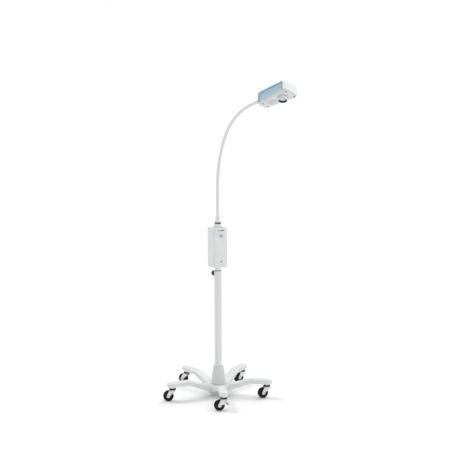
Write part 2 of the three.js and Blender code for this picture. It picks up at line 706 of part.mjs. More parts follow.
// One rounded-rectangle ring of the head, moved inwards by the inset and drawn in by the shrink.
// The underside rises by its own share of the shrink.
function headRing(x, inset, shrink, lowerShare) {
  const t = x / HEAD_LENGTH;
  const margin = inset + shrink;
  const halfWidth = THREE.MathUtils.lerp(NECK_END.halfWidth, OUTER_END.halfWidth, t) - margin;
  const top = THREE.MathUtils.lerp(NECK_END.top, OUTER_END.top, t) - margin;
  const bottom = UNDERSIDE + inset + shrink * lowerShare;
  const corner = Math.max(HEAD_CORNER - inset - shrink * 0.6, 4);
  const outline = roundedRectangle(2 * halfWidth, top - bottom, corner);
  const points = outline.extractPoints(2).shape;
  if (points[0].distanceTo(points[points.length - 1]) < 1e-6) points.pop();
  return points.map((point) => new THREE.Vector3(x, point.x, point.y + (top + bottom) / 2));
}

// The head's rounded form, or the same form moved inwards for its hollow.
function headForm(inset) {
  const turns = 3;
  const rings = [];
  for (let i = 0; i <= turns; i += 1) {
    const angle = (i / turns) * (Math.PI / 2);
    const round = NECK_END.round - inset;
    rings.push(headRing(inset + round * (1 - Math.cos(angle)), inset, round * (1 - Math.sin(angle)), 1));
  }
  for (let i = 0; i <= turns; i += 1) {
    const angle = (i / turns) * (Math.PI / 2);
    const round = OUTER_END.round - inset;
    const x = HEAD_LENGTH - inset - round * (1 - Math.sin(angle));
    rings.push(headRing(x, inset, round * (1 - Math.cos(angle)), LOWER_EDGE_SHARE));
  }
  return loft(rings);
}

function headShell() {
  return headForm(0).subtract(headForm(HEAD_SHELL));
}

// Everything lower than the tray's rim, raised by an offset.
function belowRim(offset) {
  return block(300, 200, 200, 100, 0, UNDERSIDE + TRAY_DEPTH + offset - 100);
}

// Screw posts that hang from the top of the shell down to the tray, for the screws the test accepts.
function screwPosts(accepts) {
  const { post, radius, length } = TRAY_SCREW;
  const bottom = UNDERSIDE + TRAY_DEPTH - 3;
  const solid = rod(post, bottom, 60, 12);
  const hole = rod(radius + GAP, bottom - 1, UNDERSIDE + length + 2, 12);
  const posts = TRAY_SCREWS.filter(accepts).map(([x, y]) => solid.subtract(hole).translate([x, y, 0]));
  return wasm.Manifold.union(posts).intersect(headForm(HEAD_SHELL / 2));
}

function headTray() {
  const collarHole = rod(COLLAR_NECK + GAP, -80, 0, 24).translate([LENS_X, 0, 0]);
  const window = block(WINDOW.length, WINDOW.width, 2 * WINDOW.depth, WINDOW.x, 0, UNDERSIDE);
  const { radius, head, pocket } = TRAY_SCREW;
  const seat = rod(head + GAP, UNDERSIDE - 5, UNDERSIDE + pocket, 16);
  const hole = seat.add(rod(radius + GAP, UNDERSIDE - 5, UNDERSIDE + HEAD_SHELL + 5, 12));
  const holes = TRAY_SCREWS.map(([x, y]) => hole.translate([x, y, 0]));
  return headShell().intersect(belowRim(0)).subtract(collarHole).subtract(window)
    .subtract(wasm.Manifold.union(holes));
}

function headCover() {
  const keep = block(200, 200, 200, CAP_START - 100, 0, 0);
  const neckHole = rod(NECK_RADIUS + GAP, -5, 30, 16).rotate([0, 90, 0]);
  return headShell().intersect(keep).subtract(belowRim(GAP)).subtract(neckHole)
    .add(screwPosts(([x]) => x < CAP_START));
}

function headEndCap() {
  const keep = block(200, 200, 200, CAP_START + GAP + 100, 0, 0);
  return headShell().intersect(keep).subtract(belowRim(GAP)).add(screwPosts(([x]) => x > CAP_START));
}

// A pan-head screw with a cross recess, its head down in the tray's pocket.
function trayScrew([x, y]) {
  const { radius, head, headHeight, length, pocket } = TRAY_SCREW;
  const top = UNDERSIDE + pocket - GAP;
  const bottom = top - headHeight;
  const screw = turned([
    [0, bottom], [head - 1, bottom], [head, bottom + 0.7], [head, top], [radius, top],
    [radius, UNDERSIDE + length], [0, UNDERSIDE + length],
  ], 16);
  return screw
    .subtract(block(4, 0.9, 2, 0, 0, bottom))
    .subtract(block(0.9, 4, 2, 0, 0, bottom))
    .translate([x, y, 0]);
}

function lensCollar() {
  return turned([
    [COLLAR_BORE, MOUTH], [COLLAR_RADIUS - 1, MOUTH], [COLLAR_RADIUS, MOUTH + 1.5],
    [COLLAR_RADIUS, UNDERSIDE - GAP], [COLLAR_NECK, UNDERSIDE - GAP],
    [COLLAR_NECK, UNDERSIDE + 9], [COLLAR_BORE, UNDERSIDE + 9],
  ], 24).translate([LENS_X, 0, 0]);
}

// Black barrel that tapers from the mouth up to the light source.
function lightTube() {
  const outer = COLLAR_BORE - GAP;
  return turned([
    [LENS_RADIUS + GAP, MOUTH + 0.5], [outer, MOUTH + 0.5], [outer, UNDERSIDE + 12],
    [11, BARREL_TOP], [9.5, BARREL_TOP], [16, UNDERSIDE + 11], [16, LENS_SEAT],
    [LENS_RADIUS + GAP, LENS_SEAT],
  ], 24).translate([LENS_X, 0, 0]);
}

// Domed glass, held against the step inside the barrel.
function lens() {
  const back = LENS_SEAT - GAP;
  return turned([
    [0, back - 6.5], [7, back - 6], [13, back - 4.6], [LENS_RADIUS, back - 2.5],
    [LENS_RADIUS, back], [0, back],
  ], 24).translate([LENS_X, 0, 0]);
}

// Light source bonded into one unit: emitter, round board, square base and cooling fins.
function ledModule() {
  const bottom = BARREL_TOP + GAP;
  const [board, base, finHeight, finWidth] = [1.6, 4, 15, 2];
  const emitter = block(8, 8, 2, 0, 0, bottom - 0.5);
  const plate = rod(19, bottom, bottom + board + 1, 24);
  const baseBottom = bottom + board;
  let unit = emitter.add(plate).add(block(MODULE_SIZE, MODULE_SIZE, base, 0, 0, baseBottom + base / 2));
  for (let i = 0; i < FIN_COUNT; i += 1) {
    const y = ((MODULE_SIZE - finWidth) * i) / (FIN_COUNT - 1) - (MODULE_SIZE - finWidth) / 2;
    unit = unit.add(block(MODULE_SIZE, finWidth, finHeight, 0, y, baseBottom + base + finHeight / 2 - 1));
  }
  return unit.translate([LENS_X, 0, 0]);
}

function addHead() {
  addPiece(light, 'head_tray', headPlaced(headTray()), 'whitePlastic');
  addPiece(light, 'head_cover', headPlaced(headCover()), 'bluePlastic');
  addPiece(light, 'head_end_cap', headPlaced(headEndCap()), 'whitePlastic');
  addPiece(light, 'lens_collar', headPlaced(lensCollar()), 'whitePlastic');
  addPiece(light, 'light_tube', headPlaced(lightTube()), 'blackPlastic');
  addPiece(light, 'lens', headPlaced(lens()), 'clearLens');
  addPiece(light, 'led_module', headPlaced(ledModule()), 'aluminium');
  TRAY_SCREWS.forEach((spot, i) => {
    addPiece(light, `tray_screw_${i + 1}`, headPlaced(trayScrew(spot)), 'darkSteel');
  });
}

addStand();
for (let leg = 0; leg < LEG_COUNT; leg += 1) addCastor(leg);
addColumn();
addControlBox();
addNeck();
addHead();

export default light;
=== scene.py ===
"""Looks for a mobile surgical light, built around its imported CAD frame.

Meshes are drawn in millimetres, in the frame of the part they belong to: above the floor for the stand
and the column, about the swivel axis for a castor, and along the neck for the head. Each part's matrix
then takes its meshes to the row frame in metres.
"""

import json
import math

import bmesh
import bpy
from mathutils import Matrix, Vector


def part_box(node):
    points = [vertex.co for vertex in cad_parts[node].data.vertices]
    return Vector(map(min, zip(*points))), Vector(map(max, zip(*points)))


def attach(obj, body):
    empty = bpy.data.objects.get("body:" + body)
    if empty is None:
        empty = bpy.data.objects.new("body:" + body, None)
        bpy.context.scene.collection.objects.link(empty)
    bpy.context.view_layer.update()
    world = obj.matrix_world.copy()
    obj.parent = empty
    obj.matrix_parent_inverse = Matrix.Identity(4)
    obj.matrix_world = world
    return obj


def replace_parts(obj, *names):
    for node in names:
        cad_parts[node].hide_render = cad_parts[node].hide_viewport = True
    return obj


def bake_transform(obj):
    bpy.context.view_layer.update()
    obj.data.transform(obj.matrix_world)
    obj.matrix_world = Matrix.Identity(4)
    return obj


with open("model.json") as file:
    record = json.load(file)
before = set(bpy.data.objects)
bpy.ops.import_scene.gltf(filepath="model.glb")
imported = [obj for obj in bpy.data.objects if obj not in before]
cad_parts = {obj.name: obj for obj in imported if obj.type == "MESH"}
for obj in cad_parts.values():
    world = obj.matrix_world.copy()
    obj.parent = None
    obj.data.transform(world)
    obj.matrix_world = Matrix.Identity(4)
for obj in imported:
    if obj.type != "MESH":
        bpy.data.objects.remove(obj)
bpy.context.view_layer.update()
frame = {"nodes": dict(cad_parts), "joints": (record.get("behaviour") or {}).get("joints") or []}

MM = 0.001
JOINTS = {joint["name"]: joint for joint in frame["joints"]}
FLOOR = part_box("wheel_tyre_1")[0].z
STAND = Matrix.Translation((0, 0, FLOOR)) @ Matrix.Scale(MM, 4)


def limits(node):
    """Lowest and highest corner of a CAD node, in millimetres above the floor."""
    low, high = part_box(node)
    inverse = STAND.inverted()
    return inverse @ low, inverse @ high


# ---------------------------------------------------------------- dimensions, in millimetres

LEG_COUNT = 5
LEG_REACH = 262
LEG_HALF_WIDTH = 20
LEG_ROOT_HALF_WIDTH = 28
HUB_RADIUS = 60
LEG_RISE_START = 62
LEG_RISE_END = 156
LEG_TOP = limits("base_casting")[1].z
LEG_UNDERSIDE = LEG_TOP - 21
HUB_TOP = 55
HUB_BOTTOM = limits("base_casting")[0].z
POLE_RADIUS = limits("pole")[1].x
POLE_TOP = limits("pole")[1].z
POLE_BOTTOM = limits("pole")[0].z
POLE_PLUG_TOP = 68
HUB_COVER_TOP = limits("hub_cover")[1].z

WHEEL_RADIUS = 25
WHEEL_WIDTH = 19
CASTOR_TRAIL = 20
FORK_HALF_WIDTH = 14.6
FORK_SHEET = 2.4
FORK_TOP = 54.6
COLLAR_FOOT = 60.7  # where a castor's black housing ends and its plated collar begins
BRAKED_CASTOR = 1
PEDAL_X, PEDAL_Z = -8, 41

POST_RADIUS = 14.3
POST_BOTTOM = limits("post")[0].z
KNOB_HEIGHT = 588

BOX_LOW = limits("housing_front")[0]
BOX_HIGH = Vector((limits("housing_front")[1].x, limits("housing_back")[1].y, limits("housing_front")[1].z))
BOX_SIZE = BOX_HIGH - BOX_LOW
BOX_CENTRE = (BOX_HIGH + BOX_LOW) / 2
BOX_SPLIT = limits("housing_front")[1].y
BOX_WALL = 2.5
SEAT = BOX_LOW.y + BOX_WALL + 1.8  # where the button and the lamp rest inside the box
BUTTON_HEIGHT = 775
BADGE_HEIGHT = 801
LAMP_HEIGHT = 654
INLET_HEIGHT = 660

ARM_AZIMUTH = 22.5
NECK_RADIUS = 7.2
NECK_BOTTOM = 858
NECK_SEGMENTS = 6
NECK_STRETCHES = [(146, 0), (236, 22), (227, 48), (50, 0)]  # length and turn of each stretch
NECK_LENGTH = sum(length for length, turn in NECK_STRETCHES)

HEAD_LENGTH = 178
HEAD_ROLL = -25
HEAD_SHELL = 2.5
HEAD_EASE = 0.35  # keeps the smooth form inside the CAD's facets
HEAD_CORNER = 14
NECK_END = {"half_width": 28, "top": 32, "round": 18}
OUTER_END = {"half_width": 47, "top": 22, "round": 14}
LOWER_EDGE_SHARE = 0.3  # how much of the outer end's rounding its lower edge gets
UNDERSIDE = -36
RIM = UNDERSIDE + 10
CAP_START = 165
LENS_X = 129
LENS_RADIUS = 17.2
MOUTH = UNDERSIDE - 15
LENS_SEAT = MOUTH + 10
WINDOW_X = 72
TRAY_SCREWS = [(171, 28), (171, -28), (30, 16), (30, -16)]


# ---------------------------------------------------------------- places

def turn(axis, degrees):
    return Matrix.Rotation(math.radians(degrees), 4, axis)


def shift(x, y, z):
    return Matrix.Translation((x, y, z))


def direction_at(azimuth):
    """Unit vector in plan; azimuths run from -Y towards +X."""
    return Vector((math.sin(math.radians(azimuth)), -math.cos(math.radians(azimuth))))


def neck_point(distance):
    """Reach, height and tilt from the vertical at a distance along the neck's centreline."""
    reach, height, tilt, left = 0.0, NECK_BOTTOM, 0.0, distance
    for length, degrees in NECK_STRETCHES:
        travelled = min(left, length)
        if travelled <= 0:
            break
        bend = math.radians(degrees) * travelled / length
        if degrees == 0:
            reach += travelled * math.sin(tilt)
            height += travelled * math.cos(tilt)
        else:
            radius = length / math.radians(degrees)
            reach += radius * (math.cos(tilt) - math.cos(tilt + bend))
            height += radius * (math.sin(tilt + bend) - math.sin(tilt))
        tilt += bend
        left -= travelled
    return reach, height, tilt


def head_matrix(roll):
    """The head's frame: +X from the neck to the outer end, +Z to the top cover."""
    reach, height, tilt = neck_point(NECK_LENGTH)
    plan = direction_at(ARM_AZIMUTH)
    place = STAND @ shift(plan.x * reach, plan.y * reach, height)
    return place @ turn("Z", ARM_AZIMUTH - 90) @ turn("Y", math.degrees(tilt) - 90) @ turn("X", roll)


HEAD = head_matrix(HEAD_ROLL)
HEAD_UNROLLED = head_matrix(0)


# ---------------------------------------------------------------- outlines

NEARLY_STRAIGHT = math.radians(89.5)  # half the angle of a corner too flat to round
GAP = 0.3  # between neighbouring solids


def circle(radius, count, start=0.0):
    """Points of a circle, counter-clockwise, without repeating the first."""
    angles = [start + 2 * math.pi * i / count for i in range(count)]
    return [Vector((radius * math.cos(a), radius * math.sin(a))) for a in angles]


def rounded(corners, steps=4):
    """A closed outline. A corner's third value, if it has one, is the radius of the curve there."""
    points = []
    for i, (x, y, *radius) in enumerate(corners):
        here = Vector((x, y))
        before = Vector(corners[i - 1][:2]) - here
        after = Vector(corners[(i + 1) % len(corners)][:2]) - here
        half = before.angle(after) / 2
        if not radius or half > NEARLY_STRAIGHT:
            points.append(here)
            continue
        reach = min(radius[0] / math.tan(half), before.length * 0.49, after.length * 0.49)
        start = here + before.normalized() * reach
        end = here + after.normalized() * reach
        for k in range(steps + 1):
            t = k / steps
            points.append(start * (1 - t) ** 2 + here * (2 * t * (1 - t)) + end * t ** 2)
    return points


def rounded_rectangle(width, depth, corner, steps=8):
    """Counter-clockwise outline about the origin, its corners exact arcs."""
    x, y = width / 2 - corner, depth / 2 - corner
    points = []
    for quarter, (cx, cy) in enumerate([(x, -y), (x, y), (-x, y), (-x, -y)]):
        for k in range(steps + 1):
            angle = math.radians(90 * (quarter - 1) + 90 * k / steps)
            points.append(Vector((cx + corner * math.cos(angle), cy + corner * math.sin(angle))))
    return points


def inset(outline, distance):
    """A counter-clockwise outline moved inwards."""
    moved = []
    for i, here in enumerate(outline):
        before = (here - outline[i - 1]).normalized()
        after = (outline[(i + 1) % len(outline)] - here).normalized()
        along = (before + after).normalized()
        outward = Vector((along.y, -along.x))
        stretch = max(outward.dot(Vector((after.y, -after.x))), 0.5)
        moved.append(here - outward * (distance / stretch))
    return moved


def quarter_turn(steps):
    """Sine and cosine at even steps over a right angle."""
    angles = [math.pi / 2 * k / steps for k in range(steps + 1)]
    return [(math.sin(angle), math.cos(angle)) for angle in angles]


def at_height(outline, z):
    return [Vector((point.x, point.y, z)) for point in outline]


# ---------------------------------------------------------------- meshes

def mesh_of(vertices, faces):
    """A mesh with every face turned outwards."""
    mesh = bpy.data.meshes.new("drawn")
    mesh.from_pydata([tuple(v) for v in vertices], [], faces)
    tidy = bmesh.new()
    tidy.from_mesh(mesh)
    bmesh.ops.remove_doubles(tidy, verts=tidy.verts, dist=1e-4)
    bmesh.ops.dissolve_degenerate(tidy, edges=tidy.edges, dist=1e-4)
    bmesh.ops.recalc_face_normals(tidy, faces=tidy.faces)
    tidy.to_mesh(mesh)
    tidy.free()
    return mesh


def skin(rings, closed=False):
    """Joins rings of equal length. The ends are capped, or the last ring meets the first."""
    count = len(rings[0])
    vertices = [point for ring in rings for point in ring]
    faces = []
    last = len(rings) if closed else len(rings) - 1
    for r in range(last):
        low, high = r * count, ((r + 1) % len(rings)) * count
        for i in range(count):
            j = (i + 1) % count
            faces.append((low + i, low + j, high + j, high + i))
    if not closed:
        faces.append(tuple(reversed(range(count))))
        faces.append(tuple(range(last * count, (last + 1) * count)))
    return mesh_of(vertices, faces)


def turned(profile, segments):
    """Turns a closed outline of (radius, height) points about Z. Points on the axis become poles."""
    vertices, rows = [], []
    for radius, height in profile:
        if radius < 1e-6:
            rows.append([len(vertices)] * segments)
            vertices.append(Vector((0, 0, height)))
        else:
            rows.append(list(range(len(vertices), len(vertices) + segments)))
            vertices.extend(at_height(circle(radius, segments), height))
    faces = []
    for r, row in enumerate(rows):
        above = rows[(r + 1) % len(rows)]
        for i in range(segments):
            j = (i + 1) % segments
            corners = [row[i], row[j], above[j], above[i]]
            face = [c for k, c in enumerate(corners) if c != corners[k - 1]]
            if len(face) > 2:
                faces.append(tuple(face))
    return mesh_of(vertices, faces)


def slab(outline, low, high, edge, steps=4):
    """A flat solid over an outline, with its top and bottom edges rounded."""
    lower = [(1 - sine, low + edge * (1 - cosine)) for sine, cosine in quarter_turn(steps)]
    upper = [(1 - cosine, high - edge * (1 - sine)) for sine, cosine in quarter_turn(steps)]
    return skin([at_height(inset(outline, edge * share), z) for share, z in lower + upper])


def block(size, centre, edge=0.0):
    """A rectangular solid; with an edge it is rounded all round."""
    x, y, z = (length / 2 for length in size)
    if edge:
        mesh = slab(rounded_rectangle(size[0], size[1], edge, 3), -z, z, edge, 3)
    else:
        outline = [Vector((-x, -y)), Vector((x, -y)), Vector((x, y)), Vector((-x, y))]
        mesh = skin([at_height(outline, -z), at_height(outline, z)])
    return moved(mesh, shift(*centre))


def lathe(corners, segments, steps=3):
    """Turns an outline with rounded corners about Z."""
    return turned(rounded(corners, steps), segments)


def rod(radius, low, high, segments=48):
    """A plain cylinder about Z, mostly used as a drill."""
    return turned([(0, low), (radius, low), (radius, high), (0, high)], segments)


def moved(mesh, *matrices):
    """The mesh itself, moved by each matrix in turn."""
    for matrix in matrices:
        mesh.transform(matrix)
    return mesh


def facing_front(mesh, x, y, z):
    """Lays a mesh that was drawn up +Z towards -Y, at a place."""
    return moved(mesh, turn("X", 90), shift(x, y, z))


def combined(operation, first, *others):
    """Joins, cuts or intersects solids; the meshes given are used up."""
    result = first
    for other in others:
        base = bpy.data.objects.new("boolean_base", result)
        tool = bpy.data.objects.new("boolean_tool", other)
        for item in (base, tool):
            bpy.context.scene.collection.objects.link(item)
        modifier = base.modifiers.new("boolean", "BOOLEAN")
        modifier.operation = operation
        modifier.object = tool
        modifier.solver = "EXACT"
        evaluated = base.evaluated_get(bpy.context.evaluated_depsgraph_get())
        result = bpy.data.meshes.new_from_object(evaluated)
        bpy.data.objects.remove(base)
        bpy.data.objects.remove(tool)
    return result


def joined(*meshes):
    """Separate solids kept in one mesh."""
    whole = bmesh.new()
    for mesh in meshes:
        whole.from_mesh(mesh)
    result = bpy.data.meshes.new("joined")
    whole.to_mesh(result)
    whole.free()
    return result


# ---------------------------------------------------------------- material nodes

def linear(red, green, blue):
    """A display colour, 0 to 255, as scene-linear RGBA."""
    def channel(value):
        value /= 255
        return value / 12.92 if value <= 0.04045 else ((value + 0.055) / 1.055) ** 2.4
    return (channel(red), channel(green), channel(blue), 1.0)


class Shader:
    """A node material under construction."""

    def __init__(self, name):
        self.material = bpy.data.materials.new(name)
        self.material.use_nodes = True
        self.tree = self.material.node_tree
        self.tree.nodes.clear()
        self.place = self.add("ShaderNodeTexCoord").outputs["Object"]

    def add(self, kind, inputs=None, **settings):
        node = self.tree.nodes.new(kind)
        for key, value in settings.items():
            setattr(node, key, value)
        for key, value in (inputs or {}).items():
            if isinstance(value, bpy.types.NodeSocket):
                self.tree.links.new(value, node.inputs[key])
            else:
                node.inputs[key].default_value = value
        return node

    def noise(self, scale, detail, stretch=(1, 1, 1)):
        """Noise of about 1 / scale metres, in the object's own frame."""
        mapping = self.add("ShaderNodeMapping", {"Vector": self.place, "Scale": stretch})
        inputs = {"Vector": mapping.outputs["Vector"], "Scale": scale, "Detail": detail, "Roughness": 0.5}
        return self.add("ShaderNodeTexNoise", inputs).outputs["Fac"]

    def remap(self, value, low, high, to_low=0.0, to_high=1.0):
        inputs = {"Value": value, "From Min": low, "From Max": high, "To Min": to_low, "To Max": to_high}
        return self.add("ShaderNodeMapRange", inputs, clamp=True).outputs["Result"]

    def patches(self, scale, detail, low, high, to_low=0.0, to_high=1.0, stretch=(1, 1, 1)):
        """Noise whose low and high become the ends of a range."""
        return self.remap(self.noise(scale, detail, stretch), low, high, to_low, to_high)

    def mix(self, factor, first, second):
        # A mix node keeps its colour sockets sixth and seventh, after those of its other kinds.
        return self.add("ShaderNodeMix", {0: factor, 6: first, 7: second}, data_type="RGBA").outputs[2]

    def times(self, first, second):
        return self.add("ShaderNodeMath", {0: first, 1: second}, operation="MULTIPLY").outputs[0]

    def plus(self, first, second):
        return self.add("ShaderNodeMath", {0: first, 1: second}, operation="ADD").outputs[0]

    def edges(self, low, high):
        """1 on outer edges and 0 on flats, from the mesh's curvature."""
        point = self.add("ShaderNodeNewGeometry").outputs["Pointiness"]
        return self.remap(point, low, high)

    def along(self, start, direction, length):
        """0 at a place, rising to 1 over a length in metres along a direction."""
        offset = self.add("ShaderNodeVectorMath", {0: self.place, 1: start}, operation="SUBTRACT").outputs[0]
        run = self.add("ShaderNodeVectorMath", {0: offset, 1: direction}, operation="DOT_PRODUCT")
        return self.remap(run.outputs["Value"], 0, length)

    def bump(self, height, strength, distance, **under):
        inputs = {"Height": height, "Strength": strength, "Distance": distance, **under}
        return self.add("ShaderNodeBump", inputs).outputs["Normal"]

    def finish(self, **inputs):
        named = {key.replace("_", " "): value for key, value in inputs.items()}
        body = self.add("ShaderNodeBsdfPrincipled", named)
        self.add("ShaderNodeOutputMaterial", {"Surface": body.outputs["BSDF"]})
        return self.material


def shade(colour, factor):
    return tuple(channel * factor for channel in colour[:3]) + (1.0,)


def moulded(name, display, roughness, grain=0.12, coat=0.0, mottle=0.05, dust=0.0, fade=None):
    """Moulded plastic: fine spark-eroded grain, slow colour drift, handled patches and paler edges.

    A fade is a place, a direction and a length over which the colour turns into another one.
    """
    shader, colour = Shader(name), linear(*display)
    drift = shader.patches(22, 4, 0.35, 0.65)
    base = shader.mix(drift, shade(colour, 1 - mottle), shade(colour, 1 + mottle * 0.6))
    if fade:
        place, direction, length, other = fade
        base = shader.mix(shader.along(place, direction, length), base, other)
    worn = shader.times(shader.edges(0.52, 0.58), shader.patches(160, 5, 0.42, 0.6))
    base = shader.mix(shader.times(worn, 0.22), base, shade(colour, 1.25))
    if dust:
        settled = shader.times(shader.patches(60, 6, 0.4, 0.7), dust)
        base = shader.mix(settled, base, linear(150, 146, 140))
    rough = shader.patches(75, 5, 0.3, 0.7, roughness - 0.07, roughness + 0.1)
    grains = shader.bump(shader.noise(1400, 2), grain, 0.0002)
    coated = {"Coat_Weight": coat, "Coat_Roughness": 0.25}
    return shader.finish(Base_Color=base, Roughness=rough, Normal=grains, **coated)


def painted(name, colour, roughness=0.38):
    """Powder coat on metal: orange peel, slow drift, faint scuffs and dust low down."""
    shader = Shader(name)
    drift = shader.patches(14, 4, 0.35, 0.65)
    base = shader.mix(drift, shade(colour, 0.955), colour)
    scuffs = shader.patches(210, 8, 0.66, 0.76, stretch=(1, 1, 0.22))
    base = shader.mix(shader.times(scuffs, 0.22), base, linear(150, 152, 154))
    height = shader.add("ShaderNodeSeparateXYZ", {0: shader.place}).outputs["Z"]
    low = shader.remap(height, FLOOR + 0.1, FLOOR + 0.03)
    dust = shader.times(low, shader.patches(45, 6, 0.42, 0.7))
    base = shader.mix(shader.times(dust, 0.18), base, linear(176, 172, 164))
    rough = shader.plus(
        shader.patches(60, 5, 0.3, 0.7, roughness - 0.06, roughness + 0.08),
        shader.times(scuffs, 0.15),
    )
    peel = shader.bump(shader.noise(520, 2), 0.16, 0.0004)
    return shader.finish(Base_Color=base, Roughness=rough, Normal=peel, Coat_Weight=0.25, Coat_Roughness=0.2)


def plated(name, colour, stretch=(1, 1, 14), roughness=0.3):
    """Zinc-plated sheet: drawn streaks, cloudy passivation and dull speckles."""
    shader = Shader(name)
    clouds = shader.patches(95, 6, 0.35, 0.68)
    base = shader.mix(clouds, shade(colour, 0.78), colour)
    specks = shader.patches(700, 4, 0.64, 0.74)
    base = shader.mix(shader.times(specks, 0.5), base, linear(120, 112, 98))
    streaks = shader.noise(420, 4, stretch)
    drawn = shader.remap(streaks, 0.3, 0.7, roughness - 0.08, roughness + 0.12)
    rough = shader.plus(drawn, shader.times(specks, 0.2))
    lines = shader.bump(streaks, 0.1, 0.0002)
    return shader.finish(Base_Color=base, Metallic=0.92, Roughness=rough, Normal=lines)


def rubber(name):
    """Tread rubber: near black, dusty on the running face, with fine pitting."""
    shader = Shader(name)
    base = shader.mix(shader.patches(120, 5, 0.35, 0.65), linear(10, 10, 11), linear(20, 20, 22))
    dust = shader.times(shader.patches(260, 7, 0.52, 0.74), shader.edges(0.53, 0.58))
    base = shader.mix(shader.times(dust, 0.15), base, linear(96, 92, 88))
    rough = shader.patches(340, 4, 0.3, 0.7, 0.62, 0.86)
    pits = shader.bump(shader.noise(900, 5), 0.3, 0.0003)
    return shader.finish(Base_Color=base, Roughness=rough, Normal=pits, Specular_IOR_Level=0.3)


def sleeve(name, colour):
    """Smooth silicone sleeve: soft sheen, faint handling marks and a slight lengthwise ripple."""
    shader = Shader(name)
    base = shader.mix(shader.patches(16, 4, 0.35, 0.65), shade(colour, 0.96), colour)
    marks = shader.patches(130, 7, 0.6, 0.75, stretch=(1, 1, 0.4))
    base = shader.mix(shader.times(marks, 0.14), base, linear(158, 158, 156))
    rough = shader.patches(90, 5, 0.3, 0.7, 0.34, 0.5)
    ripple = shader.bump(shader.noise(55, 3), 0.12, 0.0008)
    grain = shader.bump(shader.noise(1600, 2), 0.08, 0.0001, Normal=ripple)
    glow = {"Subsurface_Weight": 0.06, "Subsurface_Radius": (0.002, 0.002, 0.002)}
    return shader.finish(Base_Color=base, Roughness=rough, Normal=grain, **glow)


def glass(name):
    """Clear lens with a faintly frosted, ringed face."""
    shader = Shader(name)
    smears = shader.patches(180, 6, 0.5, 0.75)
    base = shader.mix(shader.times(smears, 0.3), linear(246, 248, 249), linear(222, 228, 231))
    rough = shader.remap(smears, 0, 1, 0.08, 0.22)
    waves = shader.bump(shader.noise(300, 2), 0.05, 0.0002)
    return shader.finish(Base_Color=base, Roughness=rough, Normal=waves, Transmission_Weight=0.3, IOR=1.5)


def floor_paint(name):
    """Plain pale floor with barely visible variation."""
    shader = Shader(name)
    drift = shader.patches(3, 4, 0.3, 0.7)
    base = shader.mix(drift, linear(244, 244, 244), linear(247, 247, 247))
    rough = shader.patches(30, 4, 0.3, 0.7, 0.75, 0.9)
    grain = shader.bump(shader.noise(400, 3), 0.03, 0.0002)
    return shader.finish(Base_Color=base, Roughness=rough, Normal=grain, Specular_IOR_Level=0.1)


def blue_fade():
    """The side panels turn paler from below their middle down to the tray."""
    down = HEAD.to_3x3() @ Vector((0, 0, -1))
    return HEAD @ Vector((0, 0, -2)), down.normalized(), 28 * MM, linear(188, 203, 212)


MATERIALS = {
    "white_paint": painted("powder_coat_white", linear(226, 227, 227)),
    "hub_cover_plastic": moulded("hub_cover_grey", (214, 216, 215), 0.5),
    "white_plastic": moulded("satin_white", (224, 225, 225), 0.42, mottle=0.03),
    # The tray's white is greyer than the other white mouldings: painted shade for the head's downward face.
    "tray_plastic_painted_shade": moulded("tray_white_painted_shade", (211, 212, 213), 0.45, mottle=0.03),
    "cap_plastic": moulded("cap_white", (244, 245, 246), 0.36, mottle=0.02, coat=0.15),
    "blue_plastic": moulded("pale_blue", (160, 192, 209), 0.4, mottle=0.04, coat=0.1, fade=blue_fade()),
    # The border's darker blue is painted shade for the dark band along the cover's rounded edges.
    "blue_rim_painted_shade": moulded("blue_border_painted_shade", (124, 156, 172), 0.42, mottle=0.04),
    "button_plastic": moulded("button_blue", (158, 172, 179), 0.42, grain=0.08),
    "surround_print": moulded("surround_blue", (212, 224, 231), 0.45),
    "badge_print": moulded("badge_grey", (132, 137, 142), 0.35, grain=0.05),
    "grey_plastic": moulded("lamp_window", (158, 162, 162), 0.3, grain=0.05),
    "window_plastic": moulded("window_grey", (193, 196, 199), 0.3, grain=0.05),
    "lip_plastic": moulded("lip_grey", (128, 130, 132), 0.5, grain=0.08),
    "black_plastic": moulded("black_moulding", (17, 17, 19), 0.5, mottle=0.15, dust=0.04),
    "steel": plated("zinc_plate", linear(226, 226, 225)),
    "dark_steel": plated("screw_steel", linear(92, 92, 96), roughness=0.38),
    "wheel_plastic": moulded("wheel_black", (22, 22, 24), 0.5, mottle=0.15, dust=0.05),
    "tyre_rubber": rubber("tread_rubber"),
    "lens_glass": glass("lens_glass"),
    "aluminium": plated("extruded_aluminium", linear(190, 192, 194), stretch=(14, 1, 1), roughness=0.38),
    "neck_sleeve": sleeve("neck_silicone", linear(224, 225, 226)),
}


# ---------------------------------------------------------------- pieces

def add_piece(name, body, finish, mesh, stands_for=None, place=STAND, slot=None, bevel=0.0, second=None):
    """Puts a mesh into the scene on a CAD body, in place of a CAD node.

    A second finish goes on the faces that its test accepts. A bevel is in millimetres.
    """
    other, accepts = second or (finish, None)
    mesh.name = name
    mesh.materials.clear()
    mesh.materials.append(MATERIALS[finish])
    if accepts:
        mesh.materials.append(MATERIALS[other])
    for polygon in mesh.polygons:
        polygon.material_index = int(bool(accepts and accepts(polygon.center)))
    mesh.transform(place)
    mesh.shade_smooth()
    mesh.set_sharp_from_angle(angle=math.radians(40))
    piece = bpy.data.objects.new(name, mesh)
    bpy.context.scene.collection.objects.link(piece)
    if bevel:
        modifier = piece.modifiers.new("edge_rounding", "BEVEL")
        modifier.width = bevel * MM
        modifier.segments = 2
        modifier.limit_method = "ANGLE"
        modifier.angle_limit = math.radians(45)
        piece.modifiers.new("even_normals", "WEIGHTED_NORMAL").keep_sharp = True
    if body:
        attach(piece, body)
    if stands_for:
        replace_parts(piece, stands_for)
    return piece


# ---------------------------------------------------------------- stand

def castor_anchor(number):
    return STAND.inverted() @ Vector(JOINTS[f"castor_swivel_{number}"]["pos_m"])


def leg_azimuth(leg):
    anchor = castor_anchor(leg + 1)
    return math.degrees(math.atan2(anchor.x, -anchor.y))


def between(start, end, steps):
    return [start.lerp(end, k / steps) for k in range(steps)]


